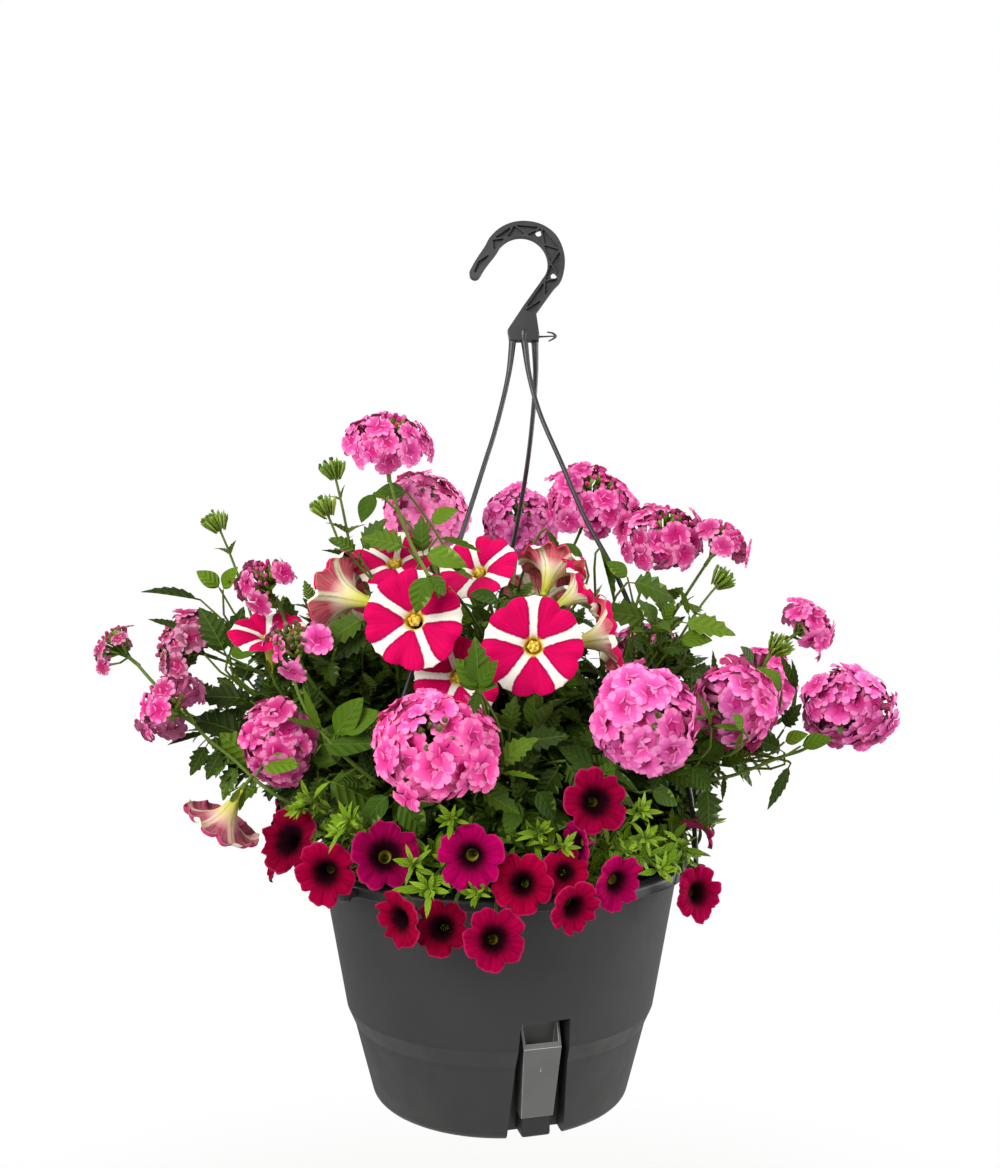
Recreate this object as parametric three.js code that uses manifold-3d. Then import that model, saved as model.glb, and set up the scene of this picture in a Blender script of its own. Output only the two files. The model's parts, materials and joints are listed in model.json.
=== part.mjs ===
// A hanging basket of verbena, petunia and calibrachoa: a round plastic pot with a water reservoir and
// a filler spout in a niche, its soil, a three-strand hanger with a hook, and the plants.
// Millimetres, +Z up. The group's origin is the seat of the hook, where it hangs on its bracket.
// Everything is drawn in the basket's own frame first: the pot's axis is x = y = 0 and its foot is z = 0.
// The hook's plane is XZ, and the front of the basket faces -Y.
import * as THREE from "three";
import { mergeVertices } from "three/addons/utils/BufferGeometryUtils.js";
import Module from "manifold-3d";

const wasm = await Module();
wasm.setup();

// ---- Driving dimensions ----
const CLEARANCE = 0.3; // between pieces that touch

const RIM_RADIUS = 125;
const RIM_WIDTH = 9.5;
const RIM_DEPTH = 8;
const RIM_BEVEL = 1.3;
const POT_HEIGHT = 155;
const SHOULDER_RADIUS = 117.5; // the wall just under the rim
const STEP_TOP = { radius: 101.5, z: 60 };
const STEP_FOOT = { radius: 96.5, z: 49 };
const FOOT_RADIUS = 83.5;
const FOOT_FILLET = 6;
const FOOT_RING_WIDTH = 3.5;
const FLOOR_TOP = 11;
const WALL = 2.2;
const ROUND_SEGMENTS = 36;

const SPOUT_AZIMUTH = 15; // degrees to the right of the front
const NICHE = { top: 78, topWidth: 30, footWidth: 36, footRadius: 68, topRadius: 84 };
const SPOUT = {
  topWidth: 24.4,
  footWidth: 19.8,
  depth: 12,
  wall: 1.2,
  frontTop: 52,
  backTop: 76,
  foot: 14.3,
};
const SPOUT_NECK = { width: 14, height: 10, wall: 1.3 };
const FOOT_BLOCK = { width: 18, bottom: 1.5, top: 14 };

const PLATE = {
  radius: 86,
  z: 38,
  thickness: 2,
  cupRadius: 15,
  cupFootRadius: 12.5,
  holeRadius: 3,
  holes: 6,
};
const SOIL = { edgeZ: 139, crownZ: 146, rimGap: 0.6 };

const LUG = { radius: 130, holeRadius: 3, width: 12, reach: 6, thickness: 4.5, drop: 1.5, root: 4 };
const STRAND = { radius: 1.7, topZ: 496.3, sides: 6, steps: 26 };
const STRAND_BUTTON = { footRadius: 3.2, radius: 4.2, height: 3 };

const SEAT = { x: 13.8, z: 565.9 };
const HOOK = { seatRadius: 18.1, thickness: 6.5, flange: 1.7, web: 2, rib: 1 };
const HOOK_EYES = { radius: 2.2, stations: [7, 11] };
const HOOK_BLOCK = {
  left: -8.9,
  right: 12,
  shoulder: 0.6,
  crest: -48.3,
  top: -52.2,
  waist: -62.6,
  foot: -69.6,
  slant: 1.5,
  thickness: 9,
};
const LABEL_PIN = { length: 11, thickness: 1.1, z: -66.2 };
const LABEL_PIN_HEAD = { tip: 1, notch: 1.5, back: 5.5, inner: 2.2, outer: 3.6 };

// ---- Materials ----
const paint = (color, roughness) => new THREE.MeshStandardMaterial({ color, roughness, metalness: 0 });
const anthracite = paint(0x3b3b3a, 0.55);
const greyPlastic = paint(0x6a6a69, 0.5);
const blackPlastic = paint(0x222323, 0.45);
const soilBrown = paint(0x2d2018, 0.95);
const leafGreen = paint(0x2f5a1a, 0.6);
const verbenaPink = paint(0xe46fb4, 0.7);
const petuniaRed = paint(0xc9064b, 0.6);
const calibrachoaMagenta = paint(0xb0065a, 0.6);

// ---- Solids and meshes ----
const solidOf = (geometry) => {
  const bare = geometry.index ? geometry.toNonIndexed() : geometry.clone();
  bare.deleteAttribute("normal");
  bare.deleteAttribute("uv");
  const merged = mergeVertices(bare, 1e-4);
  const vertProperties = merged.attributes.position.array;
  const triVerts = new Uint32Array(merged.index.array);
  return new wasm.Manifold(new wasm.Mesh({ numProp: 3, vertProperties, triVerts }));
};

const geometryOf = (solid) => {
  const { vertProperties, triVerts } = solid.getMesh();
  const geometry = new THREE.BufferGeometry();
  geometry.setAttribute("position", new THREE.BufferAttribute(vertProperties, 3));
  geometry.setIndex(new THREE.BufferAttribute(triVerts, 1));
  geometry.computeVertexNormals();
  return geometry;
};

const largestPiece = (solid) =>
  solid.decompose().reduce((best, piece) => (piece.volume() > best.volume() ? piece : best));

const addMesh = (group, name, solid, material) => {
  const mesh = new THREE.Mesh(geometryOf(solid), material);
  mesh.name = name;
  group.add(mesh);
};

// A closed profile of [radius, z] points, going up on its outside, turned about the vertical axis.
const turned = (profile, segments) => {
  const points = profile.map(([radius, z]) => new THREE.Vector2(radius, z));
  return solidOf(new THREE.LatheGeometry(points, segments).rotateX(Math.PI / 2));
};

const boxBetween = (low, high) => {
  const size = high.map((value, axis) => value - low[axis]);
  const middle = high.map((value, axis) => (value + low[axis]) / 2);
  return solidOf(new THREE.BoxGeometry(...size).translate(...middle));
};

const polygon = (sides, radius) => {
  const corner = (_, i) => {
    const angle = (2 * Math.PI * i) / sides;
    return new THREE.Vector2(radius * Math.cos(angle), radius * Math.sin(angle));
  };
  return new THREE.Shape(Array.from({ length: sides }, corner));
};

const rod = (curve, radius, sides, steps) =>
  solidOf(new THREE.ExtrudeGeometry(polygon(sides, radius), { extrudePath: curve, steps }));

const ellipsoid = ([x, y, z], [rx, ry, rz], detail) =>
  solidOf(new THREE.IcosahedronGeometry(1, detail).scale(rx, ry, rz).translate(x, y, z));

const vector = (point) => new THREE.Vector3(...point);
const radians = THREE.MathUtils.degToRad;

// Azimuth 0 faces the front and grows to the right; elevation is above the horizon.
const direction = (azimuth, elevation) =>
  new THREE.Vector3(
    Math.sin(radians(azimuth)) * Math.cos(radians(elevation)),
    -Math.cos(radians(azimuth)) * Math.cos(radians(elevation)),
    Math.sin(radians(elevation)),
  );

const onCircle = (azimuth, radius, z) => direction(azimuth, 0).multiplyScalar(radius).setZ(z);

// Turns a solid drawn at the front so that its front faces the given azimuth.
const turnToAzimuth = (solid, azimuth) => solid.rotate([0, 0, azimuth]);

// ---- Pot ----
const SHOULDER = { radius: SHOULDER_RADIUS, z: POT_HEIGHT - RIM_DEPTH };
const radiusBetween = (low, high, z) =>
  low.radius + ((high.radius - low.radius) * (z - low.z)) / (high.z - low.z);
const outsideRadius = (z) => {
  if (z < STEP_FOOT.z) return radiusBetween({ radius: FOOT_RADIUS, z: FOOT_FILLET }, STEP_FOOT, z);
  if (z < STEP_TOP.z) return radiusBetween(STEP_FOOT, STEP_TOP, z);
  return radiusBetween(STEP_TOP, SHOULDER, z);
};

const footFillet = [0, 30, 60, 90].map((angle) => [
  FOOT_RADIUS - FOOT_FILLET * (1 - Math.sin(radians(angle))),
  FOOT_FILLET * (1 - Math.cos(radians(angle))),
]);
const footInside = FOOT_RADIUS - FOOT_FILLET - FOOT_RING_WIDTH;
const rimProfile = [
  [SHOULDER.radius, SHOULDER.z],
  [RIM_RADIUS, SHOULDER.z + RIM_BEVEL],
  [RIM_RADIUS, POT_HEIGHT - RIM_BEVEL],
  [RIM_RADIUS - RIM_BEVEL, POT_HEIGHT],
  [RIM_RADIUS - RIM_WIDTH, POT_HEIGHT],
];
const outsideProfile = [
  ...footFillet,
  [STEP_FOOT.radius, STEP_FOOT.z],
  [STEP_TOP.radius, STEP_TOP.z],
  ...rimProfile,
];

const potShell = () => {
  const inside = [
    [SHOULDER.radius - WALL, SHOULDER.z],
    [STEP_TOP.radius - WALL, STEP_TOP.z],
    [STEP_FOOT.radius - WALL, STEP_FOOT.z],
    [outsideRadius(FLOOR_TOP) - WALL, FLOOR_TOP],
    [0, FLOOR_TOP],
    [0, FLOOR_TOP - WALL],
    [footInside, FLOOR_TOP - WALL],
    [footInside, 0],
  ];
  return turned([...outsideProfile, ...inside, footFillet[0]], ROUND_SEGMENTS);
};

const potEnvelope = () => turned([[0, 0], ...outsideProfile, [0, POT_HEIGHT], [0, 0]], ROUND_SEGMENTS);

// A six-sided block at the front of the pot, between a lower and an upper level.
const taperedBlock = (levels) => {
  const corners = levels.flatMap(({ z, half, outer, inner }) => [
    new THREE.Vector3(-half, -outer, z),
    new THREE.Vector3(half, -outer, z),
    new THREE.Vector3(half, -inner, z),
    new THREE.Vector3(-half, -inner, z),
  ]);
  const sides = [0, 1, 2, 3].flatMap((i) => {
    const next = (i + 1) % 4;
    return [i, next, next + 4, i, next + 4, i + 4];
  });
  const block = new THREE.BufferGeometry().setFromPoints(corners);
  block.setIndex([...sides, 2, 1, 0, 3, 2, 0, 4, 5, 6, 4, 6, 7]);
  return turnToAzimuth(solidOf(block), SPOUT_AZIMUTH);
};

// The niche around the spout, open at the wall and at the foot, grown by a wall or a clearance.
const nicheSolid = (grow, below) => {
  const levelAt = (z) => {
    const share = z / NICHE.top;
    const half = (NICHE.footWidth + (NICHE.topWidth - NICHE.footWidth) * share) / 2 + grow;
    const inner = NICHE.footRadius + (NICHE.topRadius - NICHE.footRadius) * share - grow;
    return { z, half, outer: RIM_RADIUS, inner };
  };
  return taperedBlock([levelAt(below), levelAt(NICHE.top + grow)]);
};

const footBlock = () => {
  const front = outsideRadius((FOOT_BLOCK.bottom + FOOT_BLOCK.top) / 2);
  const half = FOOT_BLOCK.width / 2;
  const block = boxBetween(
    [-half, -front, FOOT_BLOCK.bottom],
    [half, -(NICHE.footRadius - WALL), FOOT_BLOCK.top],
  );
  return turnToAzimuth(block, SPOUT_AZIMUTH);
};

const neckBox = (grow, innerRadius, outerRadius) => {
  const half = SPOUT_NECK.width / 2 + grow;
  const box = boxBetween(
    [-half, -outerRadius, SPOUT.foot - grow],
    [half, -innerRadius, SPOUT.foot + SPOUT_NECK.height + grow],
  );
  return turnToAzimuth(box, SPOUT_AZIMUTH);
};

// The strands hang from lugs that stand out of the rim, 60 degrees either side of the spout and opposite it.
const STRAND_AZIMUTHS = { left: SPOUT_AZIMUTH - 60, right: SPOUT_AZIMUTH + 60, back: SPOUT_AZIMUTH + 180 };
const lugTop = POT_HEIGHT - LUG.drop;
const lugAt = (azimuth) => {
  const tab = boxBetween(
    [-LUG.width / 2, -(LUG.radius + LUG.reach), lugTop - LUG.thickness],
    [LUG.width / 2, -(RIM_RADIUS - LUG.root), lugTop],
  );
  const hole = solidOf(
    new THREE.CylinderGeometry(LUG.holeRadius, LUG.holeRadius, 3 * LUG.thickness, 12)
      .rotateX(Math.PI / 2)
      .translate(0, -LUG.radius, lugTop - LUG.thickness / 2),
  );
  return { tab: turnToAzimuth(tab, azimuth), hole: turnToAzimuth(hole, azimuth) };
};

const makePot = () => {
  const lining = nicheSolid(WALL, 0).intersect(potEnvelope());
  let pot = potShell().add(lining).subtract(nicheSolid(0, -5)).add(footBlock());
  pot = pot.subtract(neckBox(CLEARANCE, 40, FOOT_RADIUS + 20));
  for (const azimuth of Object.values(STRAND_AZIMUTHS)) {
    const { tab, hole } = lugAt(azimuth);
    pot = pot.add(tab).subtract(hole);
  }
  return pot;
};

// ---- Filler spout: a flat tapered tube, flush with the wall, open at its slanted mouth and its neck ----
const spoutBody = (inset, topRise) => {
  const levelAt = (z, width, radius) => ({
    z,
    half: width / 2 - inset,
    outer: radius - inset,
    inner: radius - SPOUT.depth + inset,
  });
  return taperedBlock([
    levelAt(SPOUT.foot + inset, SPOUT.footWidth, outsideRadius(SPOUT.foot)),
    levelAt(SPOUT.backTop + topRise, SPOUT.topWidth, outsideRadius(STEP_TOP.z + 2)),
  ]);
};

// Cuts the mouth from the front lip up to the higher back edge, and well past both.
const mouthCutter = () => {
  const past = 30;
  const front = -(STEP_TOP.radius + past);
  const back = -(STEP_TOP.radius - SPOUT.depth - past);
  const slope = (SPOUT.backTop - SPOUT.frontTop) / SPOUT.depth;
  const lip = SPOUT.frontTop - slope * past;
  const rear = SPOUT.backTop + slope * past;
  const outline = new THREE.Shape([
    new THREE.Vector2(front, lip),
    new THREE.Vector2(back, rear),
    new THREE.Vector2(back, rear + past),
    new THREE.Vector2(front, rear + past),
  ]);
  const wedge = new THREE.ExtrudeGeometry(outline, { depth: 2 * past, bevelEnabled: false });
  wedge.translate(0, 0, -past).rotateX(Math.PI / 2).rotateZ(Math.PI / 2);
  return turnToAzimuth(solidOf(wedge), SPOUT_AZIMUTH);
};

const makeSpout = () => {
  const neckInner = NICHE.footRadius - 6;
  const neckOuter = outsideRadius(SPOUT.foot) - SPOUT.depth / 2;
  const neck = neckBox(0, neckInner, neckOuter);
  const bore = neckBox(-SPOUT_NECK.wall, neckInner - 5, neckOuter + 1);
  return spoutBody(0, 0).add(neck).subtract(spoutBody(SPOUT.wall, 4)).subtract(bore).subtract(mouthCutter());
};

// ---- Inside the pot: the reservoir's plate with its wick cup, and the soil ----
const makePlate = () => {
  const { radius, z, thickness, cupRadius, cupFootRadius, holeRadius, holes } = PLATE;
  const foot = FLOOR_TOP + CLEARANCE;
  const profile = [
    [0, foot],
    [cupFootRadius, foot],
    [cupRadius, z - thickness],
    [radius, z - thickness],
    [radius, z],
    [cupRadius - thickness, z],
    [cupFootRadius - thickness, foot + thickness],
    [0, foot + thickness],
  ];
  let plate = turned(profile, ROUND_SEGMENTS).subtract(nicheSolid(WALL + CLEARANCE, 0));
  for (let i = 0; i < holes; i += 1) {
    const centre = onCircle(SPOUT_AZIMUTH + (360 * (i + 0.5)) / holes, radius * 0.6, z);
    const drill = new THREE.CylinderGeometry(holeRadius, holeRadius, 4 * thickness, 8).rotateX(Math.PI / 2);
    plate = plate.subtract(solidOf(drill.translate(...centre)));
  }
  return plate;
};

const soilTop = (radius) => {
  const edge = SHOULDER_RADIUS - WALL;
  return SOIL.crownZ - (SOIL.crownZ - SOIL.edgeZ) * (radius / edge) ** 2;
};

const makeSoil = (rise = 0) => {
  const inside = (z) => outsideRadius(z) - WALL - SOIL.rimGap;
  const base = PLATE.z + CLEARANCE;
  const plugRadius = PLATE.cupFootRadius - PLATE.thickness - CLEARANCE;
  const profile = [
    [0, FLOOR_TOP + PLATE.thickness + 2 * CLEARANCE],
    [plugRadius, FLOOR_TOP + PLATE.thickness + 2 * CLEARANCE],
    [plugRadius + 1.5, base],
    [inside(base), base],
    [inside(STEP_FOOT.z), STEP_FOOT.z],
    [inside(STEP_TOP.z), STEP_TOP.z],
    [inside(SOIL.edgeZ), SOIL.edgeZ + rise],
    [80, soilTop(80) + rise],
    [40, soilTop(40) + rise],
    [0, SOIL.crownZ + rise],
  ];
  return turned(profile, ROUND_SEGMENTS).subtract(nicheSolid(WALL + CLEARANCE, 0));
};

// ---- Hanger ----
// The hook's centreline, seen from the front with the seat at the origin, and its width along the way.
const hookStations = () => {
  const { seatRadius } = HOOK;
  const bend = [
    [155, 8.4],
    [140, 8.8],
    [120, 9.4],
    [100, 10],
    [80, 10.6],
    [60, 11.6],
    [40, 12.2],
    [20, 11.8],
    [0, 11.4],
    [-20, 11],
  ].map(([angle, width]) => {
    const radius = seatRadius + width / 2;
    const turn = radians(angle);
    return { x: radius * Math.cos(turn), z: radius * Math.sin(turn) - seatRadius, width };
  });
  return [
    { x: -30.7, z: -24.6, width: 7.2 },
    { x: -26.9, z: -18, width: 7.6 },
    ...bend,
    { x: 18.4, z: -31.4, width: 9.8 },
    { x: 13, z: -38.9, width: 9.6 },
    { x: 4.4, z: -50.9, width: 9.6 },
  ];
};

const hookSides = (inset) => {
  const stations = hookStations();
  const sides = { outer: [], inner: [] };
  stations.forEach(({ x, z, width }, i) => {
    const before = stations[Math.max(0, i - 1)];
    const after = stations[Math.min(stations.length - 1, i + 1)];
    const along = new THREE.Vector2(after.x - before.x, after.z - before.z).normalize();
    const half = width / 2 - inset;
    sides.outer.push(new THREE.Vector2(x - along.y * half, z + along.x * half));
    sides.inner.push(new THREE.Vector2(x + along.y * half, z - along.x * half));
  });
  return sides;
};

const hookOutline = (inset) => {
  const { outer, inner } = hookSides(inset);
  const [tip, next] = hookStations();
  const tipAngle = Math.atan2(tip.z - next.z, tip.x - next.x);
  const tipRadius = tip.width / 2 - inset;
  const cap = [60, 20, -20, -60].map((angle) => {
    const turn = tipAngle + radians(angle);
    return new THREE.Vector2(tip.x + tipRadius * Math.cos(turn), tip.z + tipRadius * Math.sin(turn));
  });
  return new THREE.Shape([...outer, ...inner.reverse(), ...cap]);
};

// An outline in the hook's plane, given a thickness about a depth.
const plateInHookPlane = (outline, thickness, depth = 0) => {
  const plate = new THREE.ExtrudeGeometry(outline, { depth: thickness, bevelEnabled: false });
  return solidOf(plate.translate(0, 0, depth - thickness / 2).rotateX(Math.PI / 2));
};

const strip = (from, to, width) => {
  const along = to.clone().sub(from).normalize().multiplyScalar(width / 2);
  const side = new THREE.Vector2(-along.y, along.x);
  return new THREE.Shape([
    from.clone().add(side),
    from.clone().sub(side),
    to.clone().sub(side),
    to.clone().add(side),
  ]);
};

// Both faces of the hook are hollowed between its flanges, down to a web with zigzag ribs and two eyes.
const makeHookPocket = (face) => {
  const { thickness, flange, web, rib } = HOOK;
  const depth = (thickness - web) / 2;
  const middle = (face * (thickness + web)) / 4;
  let pocket = plateInHookPlane(hookOutline(flange), depth + 1, middle + face * 0.5);
  const { outer, inner } = hookSides(flange / 2);
  for (let i = 2; i < outer.length - 1; i += 1) {
    const [from, to] = i % 2 ? [outer[i], inner[i + 1]] : [inner[i], outer[i + 1]];
    pocket = pocket.subtract(plateInHookPlane(strip(from, to, rib), thickness, middle));
  }
  return pocket;
};

const makeHookEye = ({ x, z }) => {
  const { radius } = HOOK_EYES;
  return solidOf(new THREE.CylinderGeometry(radius, radius, 2 * HOOK.thickness, 10).translate(x, 0, z));
};

const makeHookBlock = () => {
  const { left, right, shoulder, crest, top, waist, foot, slant, thickness } = HOOK_BLOCK;
  const outline = new THREE.Shape([
    new THREE.Vector2(left, waist),
    new THREE.Vector2(left + slant, foot),
    new THREE.Vector2(right, foot),
    new THREE.Vector2(right, waist),
    new THREE.Vector2(right - slant, top),
    new THREE.Vector2(shoulder, crest),
  ]);
  return plateInHookPlane(outline, thickness);
};

const makeLabelPin = () => {
  const { length, thickness, z } = LABEL_PIN;
  const { tip, notch, back, inner, outer } = LABEL_PIN_HEAD;
  const half = thickness / 2;
  const end = HOOK_BLOCK.right + length;
  const pin = boxBetween([HOOK_BLOCK.right - 1, -half, z - half], [end - half, half, z + half]);
  const head = new THREE.Shape([
    new THREE.Vector2(end + tip, z),
    new THREE.Vector2(end - back, z + outer),
    new THREE.Vector2(end - back, z + inner),
    new THREE.Vector2(end - notch, z),
    new THREE.Vector2(end - back, z - inner),
    new THREE.Vector2(end - back, z - outer),
  ]);
  return pin.add(plateInHookPlane(head, thickness));
};

const makeHook = () => {
  const stations = hookStations();
  const [upperEye, lowerEye] = HOOK_EYES.stations.map((i) => makeHookEye(stations[i]));
  return plateInHookPlane(hookOutline(0), HOOK.thickness)
    .subtract(makeHookPocket(1))
    .subtract(makeHookPocket(-1))
    .subtract(upperEye)
    .subtract(lowerEye)
    .add(makeHookBlock())
    .add(makeLabelPin())
    .translate([SEAT.x, 0, SEAT.z]);
};

// The stations that each strand passes, from the block down to its lug.
const STRANDS = {
  left: [
    [8.6, -1],
    [5.6, -4, 473],
    [-3, -12, 436],
    [-10.3, -18, 412],
    [-21.4, -28, 376],
    [-33.8, -39, 337],
    [-55, -59, 279],
    [-74, -76, 215],
  ],
  right: [
    [16, -2],
    [19.5, -3, 473],
    [26, -5, 449],
    [41, -10, 413],
    [56.2, -14, 377],
    [77.2, -20, 337],
    [97, -26, 286],
    [119.3, -32, 214],
  ],
  back: [
    [23.3, 3],
    [24, 7, 475],
    [21.2, 18, 436],
    [16.5, 31, 401],
    [10.6, 42, 369],
    [2.7, 55, 336],
    [-15, 92, 247],
  ],
};

const makeStrand = (side, grow = 0) => {
  const azimuth = STRAND_AZIMUTHS[side];
  const [[topX, topY], ...stations] = STRANDS[side];
  const buttonTop = lugTop - LUG.thickness - CLEARANCE;
  const route = new THREE.CatmullRomCurve3([
    new THREE.Vector3(topX, topY, STRAND.topZ - CLEARANCE),
    ...stations.map(vector),
    onCircle(azimuth, LUG.radius, lugTop + 12),
    onCircle(azimuth, LUG.radius, lugTop),
    onCircle(azimuth, LUG.radius, buttonTop - STRAND_BUTTON.height),
  ]);
  const { footRadius, radius, height } = STRAND_BUTTON;
  const button = new THREE.CylinderGeometry(footRadius, radius, height, 10).rotateX(-Math.PI / 2);
  const end = onCircle(azimuth, LUG.radius, buttonTop - height / 2);
  return rod(route, STRAND.radius + grow, STRAND.sides, STRAND.steps).add(solidOf(button.translate(...end)));
};

// ---- Leaves: closed solids of the space that the leaves and stems of each plant fill ----
const RIM_LEAVES = { radius: 113, z: POT_HEIGHT + 10.2, thickness: 9.8 };
const leavesOnRim = (grow) => {
  const profile = Array.from({ length: 9 }, (_, i) => {
    const angle = radians(45 * (i % 8) + 22.5);
    const reach = RIM_LEAVES.thickness + grow;
    return [RIM_LEAVES.radius + reach * Math.cos(angle), RIM_LEAVES.z + reach * Math.sin(angle)];
  });
  return turned(profile, 30);
};

const leavesInMiddle = (grow) =>
  turned(
    [
      [0, SOIL.crownZ - 2],
      [92 + grow, SOIL.crownZ - 2],
      [98 + grow, 185],
      [86 + grow, 232],
      [66 + grow, 284],
      [40 + grow, 316 + grow],
      [0, 328 + grow],
    ],
    24,
  );

// Each side mass is one or two swells of leaves, with the stems and bud heads that stand out of it.
const SIDE_LEAVES = {
  left: {
    swells: [
      { centre: [-112, 4, 234], radii: [84, 80, 52] },
      { centre: [-108, -16, 290], radii: [52, 50, 40] },
    ],
    buds: [
      { at: [-186, -20, 376], from: [-150, -10, 260] },
      { at: [-112, 0, 412], from: [-90, -10, 300] },
      { at: [-114, -30, 385], from: [-84, -20, 290] },
    ],
  },
  right: {
    swells: [
      { centre: [104, 14, 234], radii: [78, 80, 52] },
      { centre: [92, 0, 292], radii: [52, 52, 42] },
    ],
    buds: [
      { at: [148, -12, 338], from: [110, -4, 280] },
      { at: [176, -50, 296], from: [150, -20, 240] },
    ],
  },
  front: { swells: [{ centre: [8, -92, 212], radii: [66, 38, 42] }], buds: [] },
  back: { swells: [{ centre: [-4, 98, 226], radii: [76, 56, 58] }], buds: [] },
};
const BUD_RADIUS = 9;
const STEM_RADII = { bud: 1.3, verbena: 1.5, petunia: 1.4, calibrachoa: 1.1 };

const leavesAtSide = (side, grow) => {
  const swells = SIDE_LEAVES[side].swells.map(({ centre, radii }) =>
    ellipsoid(centre, radii.map((radius) => radius + grow), radii[0] > 60 ? 2 : 1),
  );
  const buds = SIDE_LEAVES[side].buds.flatMap(({ at, from }) => {
    const size = BUD_RADIUS + grow;
    const bend = [(at[0] + from[0]) / 2, (at[1] + from[1]) / 2, (at[2] * 2 + from[2]) / 3];
    const stem = new THREE.QuadraticBezierCurve3(vector(from), vector(bend), vector(at));
    return [ellipsoid(at, [size, size, size * 0.8], 1), rod(stem, STEM_RADII.bud + grow, 5, 6)];
  });
  return [...swells, ...buds].reduce((all, solid) => all.add(solid));
};

// ---- Flowers, each with its own stem down to the leaves ----
const CROWNS = { left: [-70, 10, 200], right: [75, 15, 200], front: [0, -60, 190], centre: [0, 0, 250] };

// Moves a solid that was drawn about the origin, facing +Z, to its place and turns it to face that way.
const placed = (geometry, at, facing) => {
  const turn = new THREE.Quaternion().setFromUnitVectors(new THREE.Vector3(0, 0, 1), facing);
  return solidOf(geometry.applyQuaternion(turn).translate(...at));
};

const stemTo = (root, end, facing, radius) => {
  const reach = vector(root).distanceTo(end);
  const curve = new THREE.CubicBezierCurve3(
    vector(root),
    vector(root).add(new THREE.Vector3(0, 0, reach * 0.3)),
    end.clone().addScaledVector(facing, -reach * 0.3),
    end,
  );
  return rod(curve, radius, 5, 7);
};

// A verbena head is a dome of florets on a bunch of calyces: [place, azimuth, elevation, radius, crown].
const VERBENA_HEADS = [
  [[-35, -150, 246], 3, 30, 33, "front"],
  [[82, -130, 258], 5, 12, 32, "front"],
  [[144, -70, 260], 130, 10, 27, "right"],
  [[215, -60, 257], 150, 35, 28, "right"],
  [[197, -30, 306], 80, 35, 19, "right"],
  [[-73, -20, 423], 0, 70, 29, "centre"],
  [[-52, 30, 385], 10, 30, 29, "centre"],
  [[62, 20, 388], 20, 45, 32, "centre"],
  [[14, 66, 379], 0, 25, 27, "centre"],
  [[110, 12, 364], 20, 45, 30, "right"],
  [[147, 4, 360], 60, 55, 21, "right"],
  [[-144, -60, 332], -20, 45, 20, "left"],
  [[-204, -20, 292], -80, 20, 25, "left"],
  [[-251, -10, 290], -80, 40, 20, "left"],
  [[-201, -70, 258], -100, 30, 23, "left"],
  [[-128, -110, 243], -10, 5, 25, "left"],
  [[-118, -110, 296], -10, 45, 19, "left"],
  [[-118, 156, 284], -140, 35, 29, "left"],
  [[-6, 186, 268], 180, 25, 31, "centre"],
  [[118, 160, 278], 140, 35, 29, "right"],
  [[190, 70, 262], 110, 25, 27, "right"],
];

const makeVerbena = ([at, azimuth, elevation, radius, crown], grow) => {
  const facing = direction(azimuth, elevation);
  const dome = new THREE.LatheGeometry(
    [
      [0, -0.95],
      [0.3, -0.7],
      [0.85, -0.35],
      [1, 0],
      [0.78, 0.5],
      [0, 0.72],
    ].map(([r, z]) => new THREE.Vector2(r * (radius + grow), z * (radius + grow))),
    9,
  ).rotateX(Math.PI / 2);
  const foot = vector(at).addScaledVector(facing, -radius * 0.8);
  return placed(dome, at, facing).add(stemTo(CROWNS[crown], foot, facing, STEM_RADII.verbena + grow));
};

// The length of a funnel in radii of its mouth, and the thickness of its lip.
const FUNNEL_DEPTHS = { petunia: 1.25, calibrachoa: 0.95 };
const LIPS = { petunia: 2, calibrachoa: 1.6 };

// A petunia is a funnel: [place of its mouth, azimuth, elevation, radius, crown].
const PETUNIAS = [
  [[-50, -112, 314], -2, 10, 30, "front"],
  [[19, -126, 299], 0, 5, 29, "front"],
  [[-12, -68, 345], -10, 30, 27, "centre"],
  [[-66, -62, 351], -8, 45, 26, "centre"],
  [[-28, -98, 276], -12, -8, 26, "front"],
  [[-102, -76, 328], -120, 10, 28, "left"],
  [[-141, -74, 302], 0, 62, 24, "left"],
  [[36, -48, 352], 150, 55, 26, "centre"],
  [[70, -84, 304], 95, 12, 26, "front"],
  [[56, -60, 334], 85, 35, 24, "centre"],
  [[-165, -104, 190], -60, -58, 24, "left"],
  [[28, 112, 322], 170, 35, 28, "centre"],
  [[-66, 102, 330], -160, 40, 28, "centre"],
];

// A closed trumpet: the outside from the tube's foot to the lip, then back down the inside.
const trumpet = (radius, depth, lip, grow) =>
  new THREE.LatheGeometry(
    [
      [0, -depth - grow],
      [2.4 + grow, -depth - grow],
      [radius * 0.42 + grow, -lip * 2.4 - grow],
      [radius + grow, -lip / 2 - grow],
      [radius + grow, lip / 2 + grow],
      [radius * 0.42, -lip * 1.2 + grow],
      [0, -depth * 0.3 + grow],
    ].map(([r, z]) => new THREE.Vector2(r, z)),
    8,
  ).rotateX(Math.PI / 2);

const makePetunia = ([at, azimuth, elevation, radius, crown], grow) => {
  const facing = direction(azimuth, elevation);
  const depth = radius * FUNNEL_DEPTHS.petunia;
  const foot = vector(at).addScaledVector(facing, 1 - depth);
  const stem = stemTo(CROWNS[crown], foot, facing, STEM_RADII.petunia + grow);
  return placed(trumpet(radius, depth, LIPS.petunia, grow), at, facing).add(stem);
};

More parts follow.
